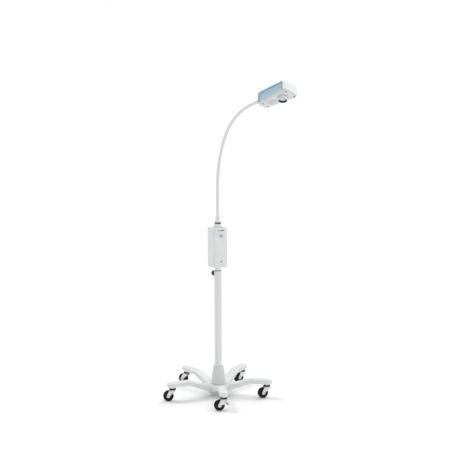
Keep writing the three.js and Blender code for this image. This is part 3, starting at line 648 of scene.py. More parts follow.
def star_outline():
    """Plan of the casting: five round-ended legs that widen into the hub, counter-clockwise."""
    points = []
    tip = LEG_REACH - LEG_HALF_WIDTH
    stations = [(HUB_RADIUS, LEG_ROOT_HALF_WIDTH), (LEG_RISE_END, LEG_HALF_WIDTH), (tip, LEG_HALF_WIDTH)]
    for leg in range(LEG_COUNT):
        along = direction_at(leg_azimuth(leg))
        across = Vector((-along.y, along.x))
        root, elbow, end = (along * reach - across * half_width for reach, half_width in stations)
        points += between(root, elbow, 14)
        points += between(elbow, end, 8)
        for k in range(17):
            angle = math.radians(180 * k / 16 - 90)
            side = along * math.cos(angle) + across * math.sin(angle)
            points.append(along * tip + side * LEG_HALF_WIDTH)
        root, elbow, end = (along * reach + across * half_width for reach, half_width in stations)
        points += between(end, elbow, 8)[1:]
        points += between(elbow, root, 14)
        following = direction_at(leg_azimuth((leg + 1) % LEG_COUNT))
        next_root = following * HUB_RADIUS - Vector((-following.y, following.x)) * LEG_ROOT_HALF_WIDTH
        valley = (along + following).normalized() * (HUB_RADIUS * 0.95)
        for k in range(8):
            t = k / 8
            points.append(root * (1 - t) ** 2 + valley * (2 * t * (1 - t)) + next_root * t ** 2)
    return points


def height_along(corners, softness):
    """A height for any radius, from a softened polyline of (radius, height) corners."""
    softened = [corners[0], *[corner + (softness,) for corner in corners[1:-1]], corners[-1]]
    line = rounded(softened, 8)

    def height(point):
        radius = point.length
        for first, second in zip(line, line[1:]):
            if first.x <= radius <= second.x:
                return first.y + (second.y - first.y) * (radius - first.x) / max(second.x - first.x, 1e-6)
        return line[-1].y

    return height


def casting_mesh():
    """Five gull-wing legs about a hub, with rounded rims and the pole's socket through the middle."""
    rim = LEG_REACH + 10
    top = height_along([(0, HUB_TOP), (LEG_RISE_START, HUB_TOP), (LEG_RISE_END, LEG_TOP), (rim, LEG_TOP)], 40)
    under = height_along([
        (0, HUB_BOTTOM), (LEG_RISE_START, HUB_BOTTOM),
        (LEG_RISE_END + 4, LEG_UNDERSIDE), (rim, LEG_UNDERSIDE),
    ], 40)
    outline = star_outline()
    top_edge, under_edge, steps, spread = 6.5, 3.0, 5, 31
    socket, bolt_hole = POLE_RADIUS + GAP, 5.3

    def lifted(points, surface, drop):
        return [Vector((p.x, p.y, surface(p) + drop)) for p in points]

    def drawn_in(points, radius, share):
        return [p * ((p.length + (radius - p.length) * share) / p.length) for p in points]

    start, finish = inset(outline, under_edge), inset(outline, top_edge)
    rings = [lifted(drawn_in(start, bolt_hole, k / spread), under, 0) for k in range(spread, 0, -1)]
    for sine, cosine in quarter_turn(steps):
        rings.append(lifted(inset(outline, under_edge * (1 - sine)), under, under_edge * (1 - cosine)))
    for sine, cosine in quarter_turn(steps):
        rings.append(lifted(inset(outline, top_edge * (1 - cosine)), top, -top_edge * (1 - sine)))
    rings += [lifted(drawn_in(finish, socket, k / spread), top, 0) for k in range(1, spread + 1)]
    rings += [at_height(drawn_in(finish, radius, 1), POLE_BOTTOM - GAP) for radius in (socket, bolt_hole)]
    return skin(rings, closed=True)


def hub_cover_mesh():
    """A tapering cover with a rolled foot and a stepped collar round the pole."""
    bore = POLE_RADIUS + 0.5
    return lathe([
        (31, HUB_TOP + GAP, 0.4), (34, HUB_TOP + GAP, 0.8), (34, 61, 1.5), (33.2, 75, 20), (30.8, 105, 20),
        (27.2, 129, 6), (26.2, 134, 1.2), (25.4, 135.2, 0.8), (25, HUB_COVER_TOP, 2.2),
        (bore, HUB_COVER_TOP, 0.6), (bore, HUB_COVER_TOP - 6, 0.3), (24, 131, 1), (28, 105, 5), (30.2, 75, 5),
    ], 96, 4)


def clamp_drill():
    """The clamp screw's hole, from the pole's axis outwards."""
    return along_clamp(rod(3.4, 0, 60, 24))


def pole_mesh():
    """A welded tube: a tapped plug in its foot, and a threaded boss for the clamp near its mouth."""
    bore, tapped = POLE_RADIUS - 2, 5.2
    tube = lathe([
        (tapped, POLE_BOTTOM), (POLE_RADIUS, POLE_BOTTOM), (POLE_RADIUS, POLE_TOP, 0.7),
        (bore, POLE_TOP, 0.5), (bore, POLE_PLUG_TOP), (0, POLE_PLUG_TOP), (0, POLE_PLUG_TOP - 6),
        (tapped, POLE_PLUG_TOP - 6),
    ], 72)
    boss = along_clamp(lathe([
        (0, bore - 4), (9, bore - 4), (9, POLE_RADIUS + 0.8, 0.5), (8, POLE_RADIUS + 1.6, 0.8),
        (8, POLE_RADIUS + 7, 0.8), (0, POLE_RADIUS + 7),
    ], 40))
    inside = rod(POLE_RADIUS - 1, KNOB_HEIGHT - 30, KNOB_HEIGHT + 10, 72)
    welded = combined("UNION", tube, combined("DIFFERENCE", boss, inside))
    return combined("DIFFERENCE", welded, clamp_drill())


def build_stand():
    add_piece("leg_star", "stand", "white_paint", casting_mesh(), "base_casting")
    add_piece("hub_cone", "stand", "hub_cover_plastic", hub_cover_mesh(), "hub_cover")
    add_piece("pole_tube", "stand", "white_paint", pole_mesh(), "pole")


# ---------------------------------------------------------------- castors

def along_axle(mesh):
    return facing_front(mesh, CASTOR_TRAIL, 0, WHEEL_RADIUS)


def swivel_mesh():
    """Swivel head: dished black housing, ball race lip, plated collar and stem."""
    return lathe([
        (0, 49.4), (6.5, 49.4, 0.6), (6.5, 51.6, 0.4), (4, 51.6, 0.2), (4, FORK_TOP + GAP, 0.2),
        (15.2, FORK_TOP + GAP, 0.5), (16.5, FORK_TOP + 1.3, 0.9), (16.5, 58, 1.4), (14.5, 59.6, 1.2),
        (10.2, 60.6, 0.4), (9, COLLAR_FOOT + 0.1, 0.2), (9, 66.6, 0.5), (5, 66.6, 0.2),
        (5, LEG_TOP - 3.5, 0.8), (0, LEG_TOP - 3.5),
    ], 40)


def cheek_outline(braked):
    """Side view of the fork, counter-clockwise: its crown, and cheeks that reach back to the axle."""
    nose = [(-14.5, 40, 4), (-6, 33, 4)] if braked else [(-11, 48, 4), (-5, 43, 6)]
    bottom = [(CASTOR_TRAIL - 8.2, WHEEL_RADIUS + 2, 4), (CASTOR_TRAIL - 6, WHEEL_RADIUS - 7.6, 6)]
    back = [(CASTOR_TRAIL + 7.6, WHEEL_RADIUS - 6.5, 6), (CASTOR_TRAIL + 7.4, WHEEL_RADIUS + 4, 5)]
    corners = [(-14, FORK_TOP, 2)] + nose + bottom + back + [(14, FORK_TOP, 2)]
    return rounded(corners)


def fork_mesh(braked):
    """A pressed fork: a channel trimmed to the side view, under a round bearing cup."""
    def arch(half_width, foot, crown, corner, steps, ends):
        outline = rounded([
            (-half_width, foot), (half_width, foot),
            (half_width, crown, corner), (-half_width, crown, corner),
        ], steps)
        return skin([[Vector((x, p.x, p.y)) for p in outline] for x in ends])

    channel = arch(FORK_HALF_WIDTH, 0, FORK_TOP, 4.5, 5, (-30, 40))
    bore = arch(FORK_HALF_WIDTH - FORK_SHEET, -5, FORK_TOP - FORK_SHEET, 2.4, 4, (-40, 50))
    side = skin([[Vector((p.x, y, p.y)) for p in cheek_outline(braked)] for y in (-30, 30)])
    body = combined("INTERSECT", combined("DIFFERENCE", channel, bore), side)
    dip = FORK_TOP - 3.6
    cup = lathe([(0, dip), (12, dip, 1), (16, FORK_TOP - 1.8, 1), (16, FORK_TOP, 0.5), (0, FORK_TOP)], 36)
    drills = [rod(4.4, 0, 90, 20)]
    if braked:
        drills.append(facing_front(rod(2.3, -30, 30, 16), PEDAL_X, 0, PEDAL_Z))
    drills.append(along_axle(rod(3.3, -30, 30, 16)))
    return combined("DIFFERENCE", combined("UNION", body, cup), *drills)


def axle_mesh():
    """A hexagon bolt head and a domed nut on one plain shank."""
    seat = FORK_HALF_WIDTH + 0.3
    shank = rod(3, -seat - 1, seat + 1, 24)
    head = slab(circle(5.5, 6), seat, seat + 2, 0.4, 2)
    nut = slab(circle(5.5, 6, math.pi / 6), -seat - 2, -seat, 0.4, 2)
    return along_axle(combined("UNION", shank, head, nut))


def mirrored(left):
    """A wheel's whole outline, from the half of it on the left of its middle."""
    return left + [(radius, -height, corner) for radius, height, corner in reversed(left)]


def wheel_core_mesh():
    """Wheel centre: hub boss, dished web with ribs on both faces, and a rim for the tyre."""
    half = WHEEL_WIDTH / 2
    mesh = lathe(mirrored([
        (3.3, -half - 1.5, 0.3), (6.6, -half - 1.5, 0.5), (7.4, -half + 0.5, 0.6), (8.2, -3.2, 1),
        (14.4, -3.2, 1), (15.4, -half + 0.7, 0.6), (17.2, -half + 0.5, 0.5),
    ]), 48)
    for spoke in range(6):
        rib = moved(block((9.4, 1.6, 2 * half - 4), (11.2, 0, 0)), turn("Z", 60 * spoke + 12))
        mesh = combined("UNION", mesh, rib)
    return along_axle(mesh)


def tyre_mesh():
    """Soft tread with rounded shoulders, side lips and a fine groove near each shoulder."""
    half, tread = WHEEL_WIDTH / 2, WHEEL_RADIUS
    return along_axle(lathe(mirrored([
        (17.6, -half, 0.3), (19.4, -half, 0.5), (20, 0.6 - half, 0.4), (21.4, 0.5 - half, 1),
        (23.6, 2.2 - half, 2), (tread - 0.15, 4.2 - half, 2), (tread, 5.2 - half, 0.2),
        (tread - 0.35, 5.5 - half, 0.1), (tread, 5.8 - half, 0.2),
    ]), 72))


def pedal_mesh():
    """Foot lever with a ribbed toe plate and a rounded cam, on its pin."""
    about_pin = [
        (4.2, 1, 2), (1, 4.2, 3), (-4.2, 2, 3), (-6.5, -4, 4), (-13, -14.6, 1.2), (-12, -17.6, 1.2),
        (-3, -8.5, 5), (2.5, -6, 2),
    ]
    side = rounded([(PEDAL_X + x, PEDAL_Z + z, radius) for x, z, radius in about_pin], 4)
    lever = moved(slab(side, -10.5, 10.5, 0.9, 3), turn("X", 90))
    for rib in range(4):
        x, z = PEDAL_X - 8.2 - 1.4 * rib, PEDAL_Z - 6.6 - 2.3 * rib
        bar = moved(block((0.9, 17, 0.9), (0, 0, 0), 0.3), turn("Y", -30), shift(x, 0, z))
        lever = combined("UNION", lever, bar)
    pin = rod(2, -FORK_HALF_WIDTH - 0.2, FORK_HALF_WIDTH + 0.2, 20)
    return combined("UNION", lever, facing_front(pin, PEDAL_X, 0, PEDAL_Z))


def castor_place(number):
    """The castor's own frame: swivel axis on Z at floor level, wheel trailing towards +X."""
    swivel = Vector(JOINTS[f"castor_swivel_{number}"]["pos_m"])
    wheel = Vector(JOINTS[f"wheel_spin_{number}"]["pos_m"])
    trail = wheel - swivel
    heading = turn("Z", math.degrees(math.atan2(trail.y, trail.x)))
    return shift(swivel.x, swivel.y, FLOOR) @ heading @ Matrix.Scale(MM, 4)


def on_stem(centre):
    return centre.z > COLLAR_FOOT


def on_pin_end(centre):
    return abs(centre.y) > 10.6


def build_castors():
    plain_fork, braked_fork = fork_mesh(False), fork_mesh(True)
    axle, core, tyre, swivel = axle_mesh(), wheel_core_mesh(), tyre_mesh(), swivel_mesh()
    for number in range(1, LEG_COUNT + 1):
        place = castor_place(number)
        fork = braked_fork if number == BRAKED_CASTOR else plain_fork
        pieces = [
            ("swivel_head", "stand", "black_plastic", swivel, "castor_stem", ("steel", on_stem)),
            ("fork", f"castor_{number}", "steel", fork, "castor_fork", None),
            ("axle_bolt", f"castor_{number}", "steel", axle, "castor_axle", None),
            ("wheel_centre", f"wheel_{number}", "wheel_plastic", core, "wheel_core", None),
            ("tread", f"wheel_{number}", "tyre_rubber", tyre, "wheel_tyre", None),
        ]
        for name, body, finish, mesh, node, second in pieces:
            extras = {"bevel": 0.35 if name in ("fork", "wheel_centre") else 0, "second": second}
            add_piece(f"{name}_{number}", body, finish, mesh.copy(), f"{node}_{number}", place, **extras)
    extras = {"place": castor_place(BRAKED_CASTOR), "second": ("steel", on_pin_end)}
    add_piece("brake_lever", "brake", "black_plastic", pedal_mesh(), "brake_pedal", **extras)


# ---------------------------------------------------------------- column and clamp

def along_clamp(mesh):
    return moved(mesh, turn("X", -90), shift(0, 0, KNOB_HEIGHT))


def bush_mesh():
    """Sleeve inside the pole with a rounded lip that closes its mouth."""
    outer, inner = POLE_RADIUS - 2.3, POST_RADIUS + GAP
    sleeve_and_lip = lathe([
        (inner, POLE_TOP - 45), (outer, POLE_TOP - 45), (outer, POLE_TOP + GAP), (17, POLE_TOP + GAP, 0.3),
        (17, POLE_TOP + 2, 1.2), (inner, POLE_TOP + 3, 0.5),
    ], 72, 4)
    return combined("DIFFERENCE", sleeve_and_lip, clamp_drill())


def post_mesh():
    """The sliding tube, with the flange that it carries the box on."""
    floor = BOX_LOW.z + BOX_WALL + GAP
    outer, bore = POST_RADIUS, POST_RADIUS - 1.6
    return lathe([
        (bore, POST_BOTTOM, 0.3), (outer, POST_BOTTOM, 0.5), (outer, floor), (26, floor, 0.4),
        (26, floor + 5, 0.4), (outer, floor + 5, 0.8), (outer, floor + 14, 0.4), (bore, floor + 14, 0.3),
    ], 72)


def knob_mesh():
    """A lobed grip with a dished cap, its boss and the clamping screw."""
    lobes, radius, depth, count = 6, 12.2, 0.8, 96
    angles = [2 * math.pi * i / count for i in range(count)]
    reaches = [radius + depth * math.cos(lobes * a) for a in angles]
    outline = [Vector((r * math.cos(a), r * math.sin(a))) for a, r in zip(angles, reaches)]
    back = POLE_RADIUS + 14
    grip = slab(outline, back, back + 14, 2.0, 5)
    dish = lathe([(0, back + 13.1), (6.4, back + 13.1, 0.3), (7.2, back + 15, 0.3), (0, back + 15)], 32, 2)
    grip = combined("DIFFERENCE", grip, dish)
    foot, tip = POLE_RADIUS + 9.5, POST_RADIUS + 2.9
    boss = lathe([(0, foot), (6, foot, 0.6), (7, back + 1), (0, back + 1)], 32)
    screw = lathe([(0, tip), (3, tip, 0.5), (3, POLE_RADIUS + 12), (0, POLE_RADIUS + 12)], 24, 2)
    return along_clamp(combined("UNION", grip, boss, screw))


def on_screw(centre):
    return centre.y < POLE_RADIUS + 9.4


def build_column():
    add_piece("pole_lip", "stand", "lip_plastic", bush_mesh(), "post_bush", slot="black_plastic")
    add_piece("lift_post", "column", "white_paint", post_mesh(), "post")
    add_piece("clamp_grip", "knob", "black_plastic", knob_mesh(), "clamp_knob", second=("steel", on_screw))


# ---------------------------------------------------------------- control box

def box_solid(inward, edge):
    """The whole box as one solid, moved inwards."""
    outline = rounded_rectangle(BOX_SIZE.x - 2 * inward, BOX_SIZE.y - 2 * inward, 14 - inward, 10)
    low, high = BOX_LOW.z + inward, BOX_HIGH.z - inward
    plain = [at_height(outline, low), at_height(outline, high)]
    mesh = slab(outline, low, high, edge, 6) if edge else skin(plain)
    return moved(mesh, shift(0, BOX_CENTRE.y, 0))


def box_skin():
    return combined("DIFFERENCE", box_solid(0, 3.4), box_solid(BOX_WALL, 0))


def drill_front(radius, x, z):
    """A hole through the box's front wall."""
    return facing_front(rod(radius, 0, 60), x, 0, z)


def front_shell_mesh():
    """The front half, with holes for the post, the neck, the button and the lamp."""
    cut_away = block((200, 100, 400), (0, BOX_SPLIT + 50, BOX_CENTRE.z))
    return combined(
        "DIFFERENCE", box_skin(), cut_away,
        rod(POST_RADIUS + 0.3, BOX_LOW.z - 5, BOX_LOW.z + 10),
        rod(9.3, BOX_HIGH.z - 10, BOX_HIGH.z + 5),
        drill_front(7.3, 0, BUTTON_HEIGHT),
        drill_front(2.8, 0, LAMP_HEIGHT),
    )


def back_shell_mesh():
    """The back cover, with an opening for the mains inlet."""
    cut_away = block((200, 100, 400), (0, BOX_SPLIT + 0.3 - 50, BOX_CENTRE.z))
    opening = block((26.6, 60, 19.6), (0, BOX_HIGH.y + 10, INLET_HEIGHT))
    return combined("DIFFERENCE", box_skin(), cut_away, opening)


def button_mesh():
    """Round key with a soft dished face and a hidden retaining flange."""
    key = lathe([
        (0, 0), (9.5, 0, 0.2), (9.5, 1.5, 0.2), (7, 1.5, 0.2), (7, 5.4, 1), (6, 6.5, 0.6), (4, 6.2, 3),
        (0, 6.0),
    ], 48, 4)
    return facing_front(key, 0, SEAT, BUTTON_HEIGHT)


def lamp_mesh():
    """Domed light pipe with the same hidden flange."""
    pipe = lathe([
        (0, 0), (3.5, 0, 0.1), (3.5, 1.5, 0.1), (2.5, 1.5, 0.1), (2.5, 4.6, 0.5), (1.5, 5.05, 1), (0, 5.2),
    ], 32, 4)
    return facing_front(pipe, 0, SEAT, LAMP_HEIGHT)


def on_front(mesh, x, z):
    """Stands a flat mesh, drawn in XY with its back at z 0, on the box's front face."""
    return facing_front(mesh, x, BOX_LOW.y, z)


def surround_mesh():
    profile = [(7.6, -0.2), (12.6, -0.2), (12.6, 0.35, 0.25), (7.6, 0.35, 0.2)]
    return on_front(lathe(profile, 64, 2), 0, BUTTON_HEIGHT)


def badge_mesh():
    """A plain raised bar and a shorter one beside it, in place of any marking."""
    bars = [(6, (18, 6, 1.6)), (-12.5, (14, 3, 1.2))]
    return joined(*(
        on_front(slab(rounded_rectangle(*size, 5), -0.2, 0.4, 0.25, 2), x, BADGE_HEIGHT) for x, size in bars
    ))


def lamp_bezel_mesh():
    profile = [(2.8, -0.2), (4.4, -0.2), (4.4, 0.4, 0.3), (2.8, 0.5, 0.2)]
    return on_front(lathe(profile, 40, 2), 0, LAMP_HEIGHT)


def inlet_mesh():
    """Appliance inlet: flanged frame, recessed well and three blades."""
    face = BOX_HIGH.y
    plate = slab(rounded_rectangle(32, 25, 3, 5), 0, 1.6, 0.5, 3)
    flange = moved(plate, turn("X", -90), shift(0, face + 0.3, INLET_HEIGHT))
    body = block((26, 16, 19), (0, face - 7, INLET_HEIGHT))
    well = block((20, 12, 12), (0, face - 2, INLET_HEIGHT))
    mesh = combined("DIFFERENCE", combined("UNION", flange, body), well)
    blades = [block((1.6, 8, 4), (x, face - 7, INLET_HEIGHT), 0.2) for x in (-6, 0, 6)]
    return combined("UNION", mesh, *blades)


def in_well(centre):
    """The inlet's blades, low in its well."""
    return abs(centre.x) < 7.2 and centre.y < BOX_HIGH.y - 3.2 and abs(centre.z - INLET_HEIGHT) < 2.2


def build_control_box():
    add_piece("front_shell", "column", "white_plastic", front_shell_mesh(), "housing_front", bevel=0.4)
    add_piece("back_shell", "column", "white_plastic", back_shell_mesh(), "housing_back", bevel=0.4)
    add_piece("power_key", "button", "button_plastic", button_mesh(), "power_button")
    add_piece("key_surround", "column", "surround_print", surround_mesh(), slot="white_plastic")
    add_piece("plain_badge", "column", "badge_print", badge_mesh(), slot="grey_plastic")
    add_piece("status_lamp", "column", "grey_plastic", lamp_mesh(), "status_light")
    add_piece("lamp_bezel", "column", "grey_plastic", lamp_bezel_mesh())
    blades = ("steel", in_well)
    add_piece("mains_inlet", "column", "black_plastic", inlet_mesh(), "power_inlet", second=blades)


# ---------------------------------------------------------------- gooseneck

def neck_ring(distance, radius):
    """Centre and ring of points round the neck."""
    reach, height, tilt = neck_point(distance)
    plan = direction_at(ARM_AZIMUTH)
    centre = Vector((plan.x * reach, plan.y * reach, height))
    sideways = Vector((-plan.y, plan.x, 0))
    outward = Vector((plan.x * math.cos(tilt), plan.y * math.cos(tilt), -math.sin(tilt)))
    ring = [centre + outward * p.x + sideways * p.y for p in circle(radius, 32)]
    return centre, ring


def neck_sleeve(name, start, end, bodies):
    """One length of sleeve on its body; with two bodies it is put on neither of them."""
    steps = max(6, round((end - start) / 4))
    rings = [neck_ring(start + (end - start) * k / steps, NECK_RADIUS)[1] for k in range(steps + 1)]
    mesh = skin(rings)
    if len(bodies) == 1:
        return add_piece(name, bodies[0], "neck_sleeve", mesh, slot="white_paint")
    piece = add_piece(name, None, "neck_sleeve", mesh, slot="white_paint")
    bend_start, bend_end = STAND @ neck_ring(start, 1)[0], STAND @ neck_ring(end, 1)[0]
    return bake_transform(piece)


def build_neck():
    pitch = NECK_LENGTH / NECK_SEGMENTS
    bodies = ["column"] + [f"neck_{k}" for k in range(2, NECK_SEGMENTS + 1)]
    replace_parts(neck_sleeve("neck_foot", 0, pitch / 2, bodies[:1]), "neck_segment_1")
    for k in range(1, NECK_SEGMENTS):
        start = (k - 0.5) * pitch
        piece = neck_sleeve(f"neck_bend_sleeve_{k}", start, start + pitch, bodies[k - 1:k + 1])
        if k + 1 < NECK_SEGMENTS:
            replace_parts(piece, f"neck_segment_{k + 1}")
    tip = neck_sleeve("neck_tip", NECK_LENGTH - pitch / 2, NECK_LENGTH, bodies[-1:])
    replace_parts(tip, f"neck_segment_{NECK_SEGMENTS}")
    spigot = moved(lathe([(0, -1), (6.6, -1), (6.6, 8, 0.4), (0, 8)], 32, 2), turn("Y", 90))
    add_piece("head_spigot", bodies[-1], "steel", spigot, place=HEAD_UNROLLED)


def build_neck_foot():
    """The boss on the box's lid, the seal ring on it and the ferrule that grips the neck."""
    lid, rise, foot = BOX_HIGH.z, BOX_HIGH.z + 23.3, NECK_BOTTOM
    flange = lathe([
        (11, lid + GAP), (21, lid + GAP, 0.5), (21, lid + 2.6, 1.2), (18.2, lid + 6, 5), (17, lid + 17, 0.8),
        (16, lid + 18, 0.3), (11, lid + 18),
    ], 72, 5)
    seal = lathe([(11, lid + 18.3), (16, lid + 18.3, 1), (16, lid + 23, 1), (11, lid + 23)], 64, 4)
    ferrule = lathe([
        (4, lid - 12), (9, lid - 12, 0.3), (9, rise), (14, rise, 0.5), (14, rise + 7.6, 1.2),
        (10.5, rise + 10, 1.5), (10.5, foot + 5.6, 1), (9, foot + 8, 0.6),
        (NECK_RADIUS + GAP, foot + 8, 0.2), (NECK_RADIUS + GAP, foot - GAP), (4, foot - GAP),
    ], 64, 4)
    add_piece("lid_flange", "column", "white_plastic", flange, "neck_flange")
    add_piece("seal_ring", "column", "black_plastic", seal, "neck_seal")
    add_piece("ferrule", "column", "white_paint", ferrule, "neck_ferrule")


# ---------------------------------------------------------------- lamp head

PANEL_DEPTH = 1.1
BORDER_DEPTH = 17  # of the raised border, down from the top of the cover
BORDER_START = 20
BORDER_END = CAP_START - 6


def smooth_step(value, low, high):
    t = min(max((value - low) / (high - low), 0), 1)
    return t * t * (3 - 2 * t)


def head_section(x, inward=0.0, shrink=0.0, lower_share=1.0):
    """Half-width, top and bottom of the head at a station; the underside rises by its share of the shrink."""
    t = x / HEAD_LENGTH
    margin = inward + shrink
    half_width = NECK_END["half_width"] + (OUTER_END["half_width"] - NECK_END["half_width"]) * t - margin
    top = NECK_END["top"] + (OUTER_END["top"] - NECK_END["top"]) * t - margin
    return half_width, top, UNDERSIDE + inward + shrink * lower_share


def head_ring(x, inward, shrink, lower_share, panels):
    """One rounded-rectangle ring; with panels its long sides are let in inside a raised border."""
    half_width, top, bottom = head_section(x, inward, shrink, lower_share)
    corner = max(HEAD_CORNER - inward - shrink * 0.6, 4)
    height = top - bottom
    arc_steps, side_steps = 9, 24
    outline = rounded_rectangle(2 * half_width, height, corner, arc_steps)
    dense = []
    for i, here in enumerate(outline):
        ends_arc = i % (arc_steps + 1) == arc_steps
        following = outline[(i + 1) % len(outline)]
        dense += between(here, following, side_steps if panels and ends_arc else 1)
    points = []
    for p in dense:
        y, z = p.x, p.y + (top + bottom) / 2
        if panels:
            inside = smooth_step(top - z, BORDER_DEPTH - 1.2, BORDER_DEPTH + 1) * panels(x)
            on_side = smooth_step(abs(y), half_width - corner * 0.6, half_width - corner * 0.3)
            y -= math.copysign(PANEL_DEPTH * inside * on_side, y)
        points.append(Vector((x, y, z)))
    return points


def head_form(inward, panels=None):
    """The head's rounded form, or the same form moved inwards for its hollow."""
    arc = quarter_turn(8)
    middle = 48 if panels else 1
    first, last = NECK_END["round"], HEAD_LENGTH - OUTER_END["round"]
    bend = NECK_END["round"] - inward
    stations = [(inward + bend * (1 - cosine), bend * (1 - sine), 1) for sine, cosine in arc]
    stations += [(first + (last - first) * k / middle, 0, 1) for k in range(1, middle)]
    bend, end = OUTER_END["round"] - inward, HEAD_LENGTH - inward
    stations += [(end - bend * (1 - sine), bend * (1 - cosine), LOWER_EDGE_SHARE) for sine, cosine in arc]
    return skin([head_ring(x, inward, shrink, share, panels) for x, shrink, share in stations])


def head_shell(panels=None):
    hollow = head_form(HEAD_SHELL + (PANEL_DEPTH if panels else 0))
    return combined("DIFFERENCE", head_form(HEAD_EASE, panels), hollow)


def slice_block(x_low, x_high, z_low, z_high):
    """A wide block that keeps one stretch of the head."""
    size = (x_high - x_low, 200, z_high - z_low)
    return block(size, ((x_low + x_high) / 2, 0, (z_low + z_high) / 2))


def tray_mesh():
    """The white underside: a collar opening, a let-in window and four screw pockets."""
    mesh = combined("INTERSECT", head_shell(), slice_block(-20, HEAD_LENGTH + 20, UNDERSIDE - 20, RIM))
    collar_hole = moved(rod(20.9, -80, 0, 64), shift(LENS_X, 0, 0))
    window = moved(slab(rounded_rectangle(46, 34, 4, 5), -1, 1, 0.0, 1), shift(WINDOW_X, 0, UNDERSIDE))
    pocket = turned([(0, -5), (3.7, -5), (3.7, 1), (1.8, 1), (1.8, 8), (0, 8)], 32)
    pockets = [moved(pocket.copy(), shift(x, y, UNDERSIDE)) for x, y in TRAY_SCREWS]
    return combined("DIFFERENCE", mesh, collar_hole, window, *pockets)


def screw_mesh():
    """A pan-head screw, facing down: its head sits in the tray's pocket and its shank runs up inside."""
    screw = lathe([
        (0, -1.1), (2.5, -1.05, 0.8), (3.4, -0.3, 0.5), (3.4, 0.7, 0.1), (1.5, 0.7, 0.1), (1.5, 12, 0.2),
        (0, 12),
    ], 32)
    recess = [block((4, 0.9, 1.6), (0, 0, -1.1)), block((0.9, 4, 1.6), (0, 0, -1.1))]
    return combined("DIFFERENCE", screw, *recess)


def window_mesh():
    pane = slab(rounded_rectangle(45.4, 33.4, 3.8, 5), 0, 0.7, 0.2, 2)
    return moved(pane, shift(WINDOW_X, 0, UNDERSIDE + 0.1))


def panel_share(x):
    """1 where the long sides are let in, 0 on the border at either end."""
    rise = smooth_step(x, BORDER_START, BORDER_START + 3)
    return rise * (1 - smooth_step(x, BORDER_END - 2, BORDER_END))


def in_painted_shade_border(centre):
    """The raised border of a side panel, along its top and both ends, which gets a darker blue as painted
    shade.
    """
    half_width, top, bottom = head_section(centre.x)
    on_side = abs(centre.y) > half_width - HEAD_CORNER * 0.75
    near_top = top - centre.z < BORDER_DEPTH
    near_end = centre.x < BORDER_START + 2 or centre.x > BORDER_END - 1
    return near_end or near_top and on_side


def cover_mesh():
    """The blue top, its long sides let in, with the hole that the neck's end enters."""
    shell = head_shell(panel_share)
    mesh = combined("INTERSECT", shell, slice_block(-20, CAP_START, RIM + GAP, 80))
    neck_hole = moved(rod(NECK_RADIUS + 0.3, -5, 30, 40), turn("Y", 90))
    return combined("DIFFERENCE", mesh, neck_hole)


def cap_mesh():
    return combined("INTERSECT", head_shell(), slice_block(CAP_START + GAP, HEAD_LENGTH + 20, RIM + GAP, 80))


def about_lens(profile, steps):
    """Turns an outline about the lens's axis."""
    return moved(lathe(profile, 72, steps), shift(LENS_X, 0, 0))


def collar_mesh():
    return about_lens([
        (19.3, MOUTH, 0.4), (21.5, MOUTH, 1), (22.5, MOUTH + 1.5, 1.2), (22.5, UNDERSIDE - GAP, 0.4),
        (20.6, UNDERSIDE - GAP, 0.1), (20.6, UNDERSIDE + 9, 0.2), (19.3, UNDERSIDE + 9, 0.2),
    ], 4)


def tube_mesh():
    """Black barrel that tapers from the mouth up to the light source, with fine baffle steps."""
    seat, throat, top = LENS_SEAT, UNDERSIDE + 11, UNDERSIDE + 26
    mouth, steps = LENS_RADIUS + GAP, 5
    inner = [(16, seat, 0.1)]
    for k in range(1, steps):
        radius = 16 - 0.4 * k
        height = seat + (throat - seat) * k / steps
        inner += [(radius + 0.4, height), (radius, height)]
    outer = [
        (mouth, MOUTH + 0.5, 0.2), (19, MOUTH + 0.5, 0.3), (19, UNDERSIDE + 12, 0.5), (11, top, 0.3),
        (9.5, top, 0.2), (14, throat, 0.5),
    ]
    return about_lens(outer + inner[::-1] + [(mouth, seat, 0.1)], 2)


def lens_mesh():
    """Domed glass with a moulded rim and shallow rings on its face."""
    back = LENS_SEAT - 0.3
    edge, apex = back - 1.6, back - 4.2
    rings = 6
    face = [(0, apex)]
    for k in range(1, rings + 1):
        radius = LENS_RADIUS * k / rings
        height = apex + (edge - apex) * (k / rings) ** 2
        face += [(radius - 0.4, height - 0.25, 0.2), (radius, height, 0.2)]
    return about_lens(face + [(LENS_RADIUS, back, 0.2), (0, back)], 2)


def build_head():
    def add(name, finish, mesh, node=None, **extras):
        add_piece(name, "head", finish, mesh, node, HEAD, **extras)

    # The underside's greyer white is painted shade.
    add("head_underside", "tray_plastic_painted_shade", tray_mesh(), "head_tray", bevel=0.4)
    # The cover's border gets the darker blue of painted shade.
    add("head_blue_cover", "blue_plastic", cover_mesh(), "head_cover", second=("blue_rim_painted_shade", in_painted_shade_border))
    add("head_white_end", "cap_plastic", cap_mesh(), "head_end_cap")
    add("mouth_collar", "white_plastic", collar_mesh(), "lens_collar")
    add("mouth_barrel", "black_plastic", tube_mesh(), "light_tube")
    add("front_glass", "lens_glass", lens_mesh(), "lens")
    add("inspection_window", "window_plastic", window_mesh(), slot="grey_plastic")
    screw = screw_mesh()
    for number, (x, y) in enumerate(TRAY_SCREWS, 1):
        mesh = moved(screw.copy(), turn("Z", 35 * number), shift(x, y, UNDERSIDE))
        add(f"cross_screw_{number}", "dark_steel", mesh, f"tray_screw_{number}")


# ---------------------------------------------------------------- CAD nodes that stay

def dress_cad_nodes():
    """The carried-over CAD nodes listed here each get the material of the slot given for them."""
    finishes = [
        ("base_bolt", "steel"), ("led_module", "aluminium"),
        ("post_glide", "black_plastic"), ("clamp_pad", "black_plastic"),
    ]
    for node, finish in finishes:
        mesh = frame["nodes"][node].data
        mesh.materials.clear()
        mesh.materials.append(MATERIALS[finish])


# ---------------------------------------------------------------- studio

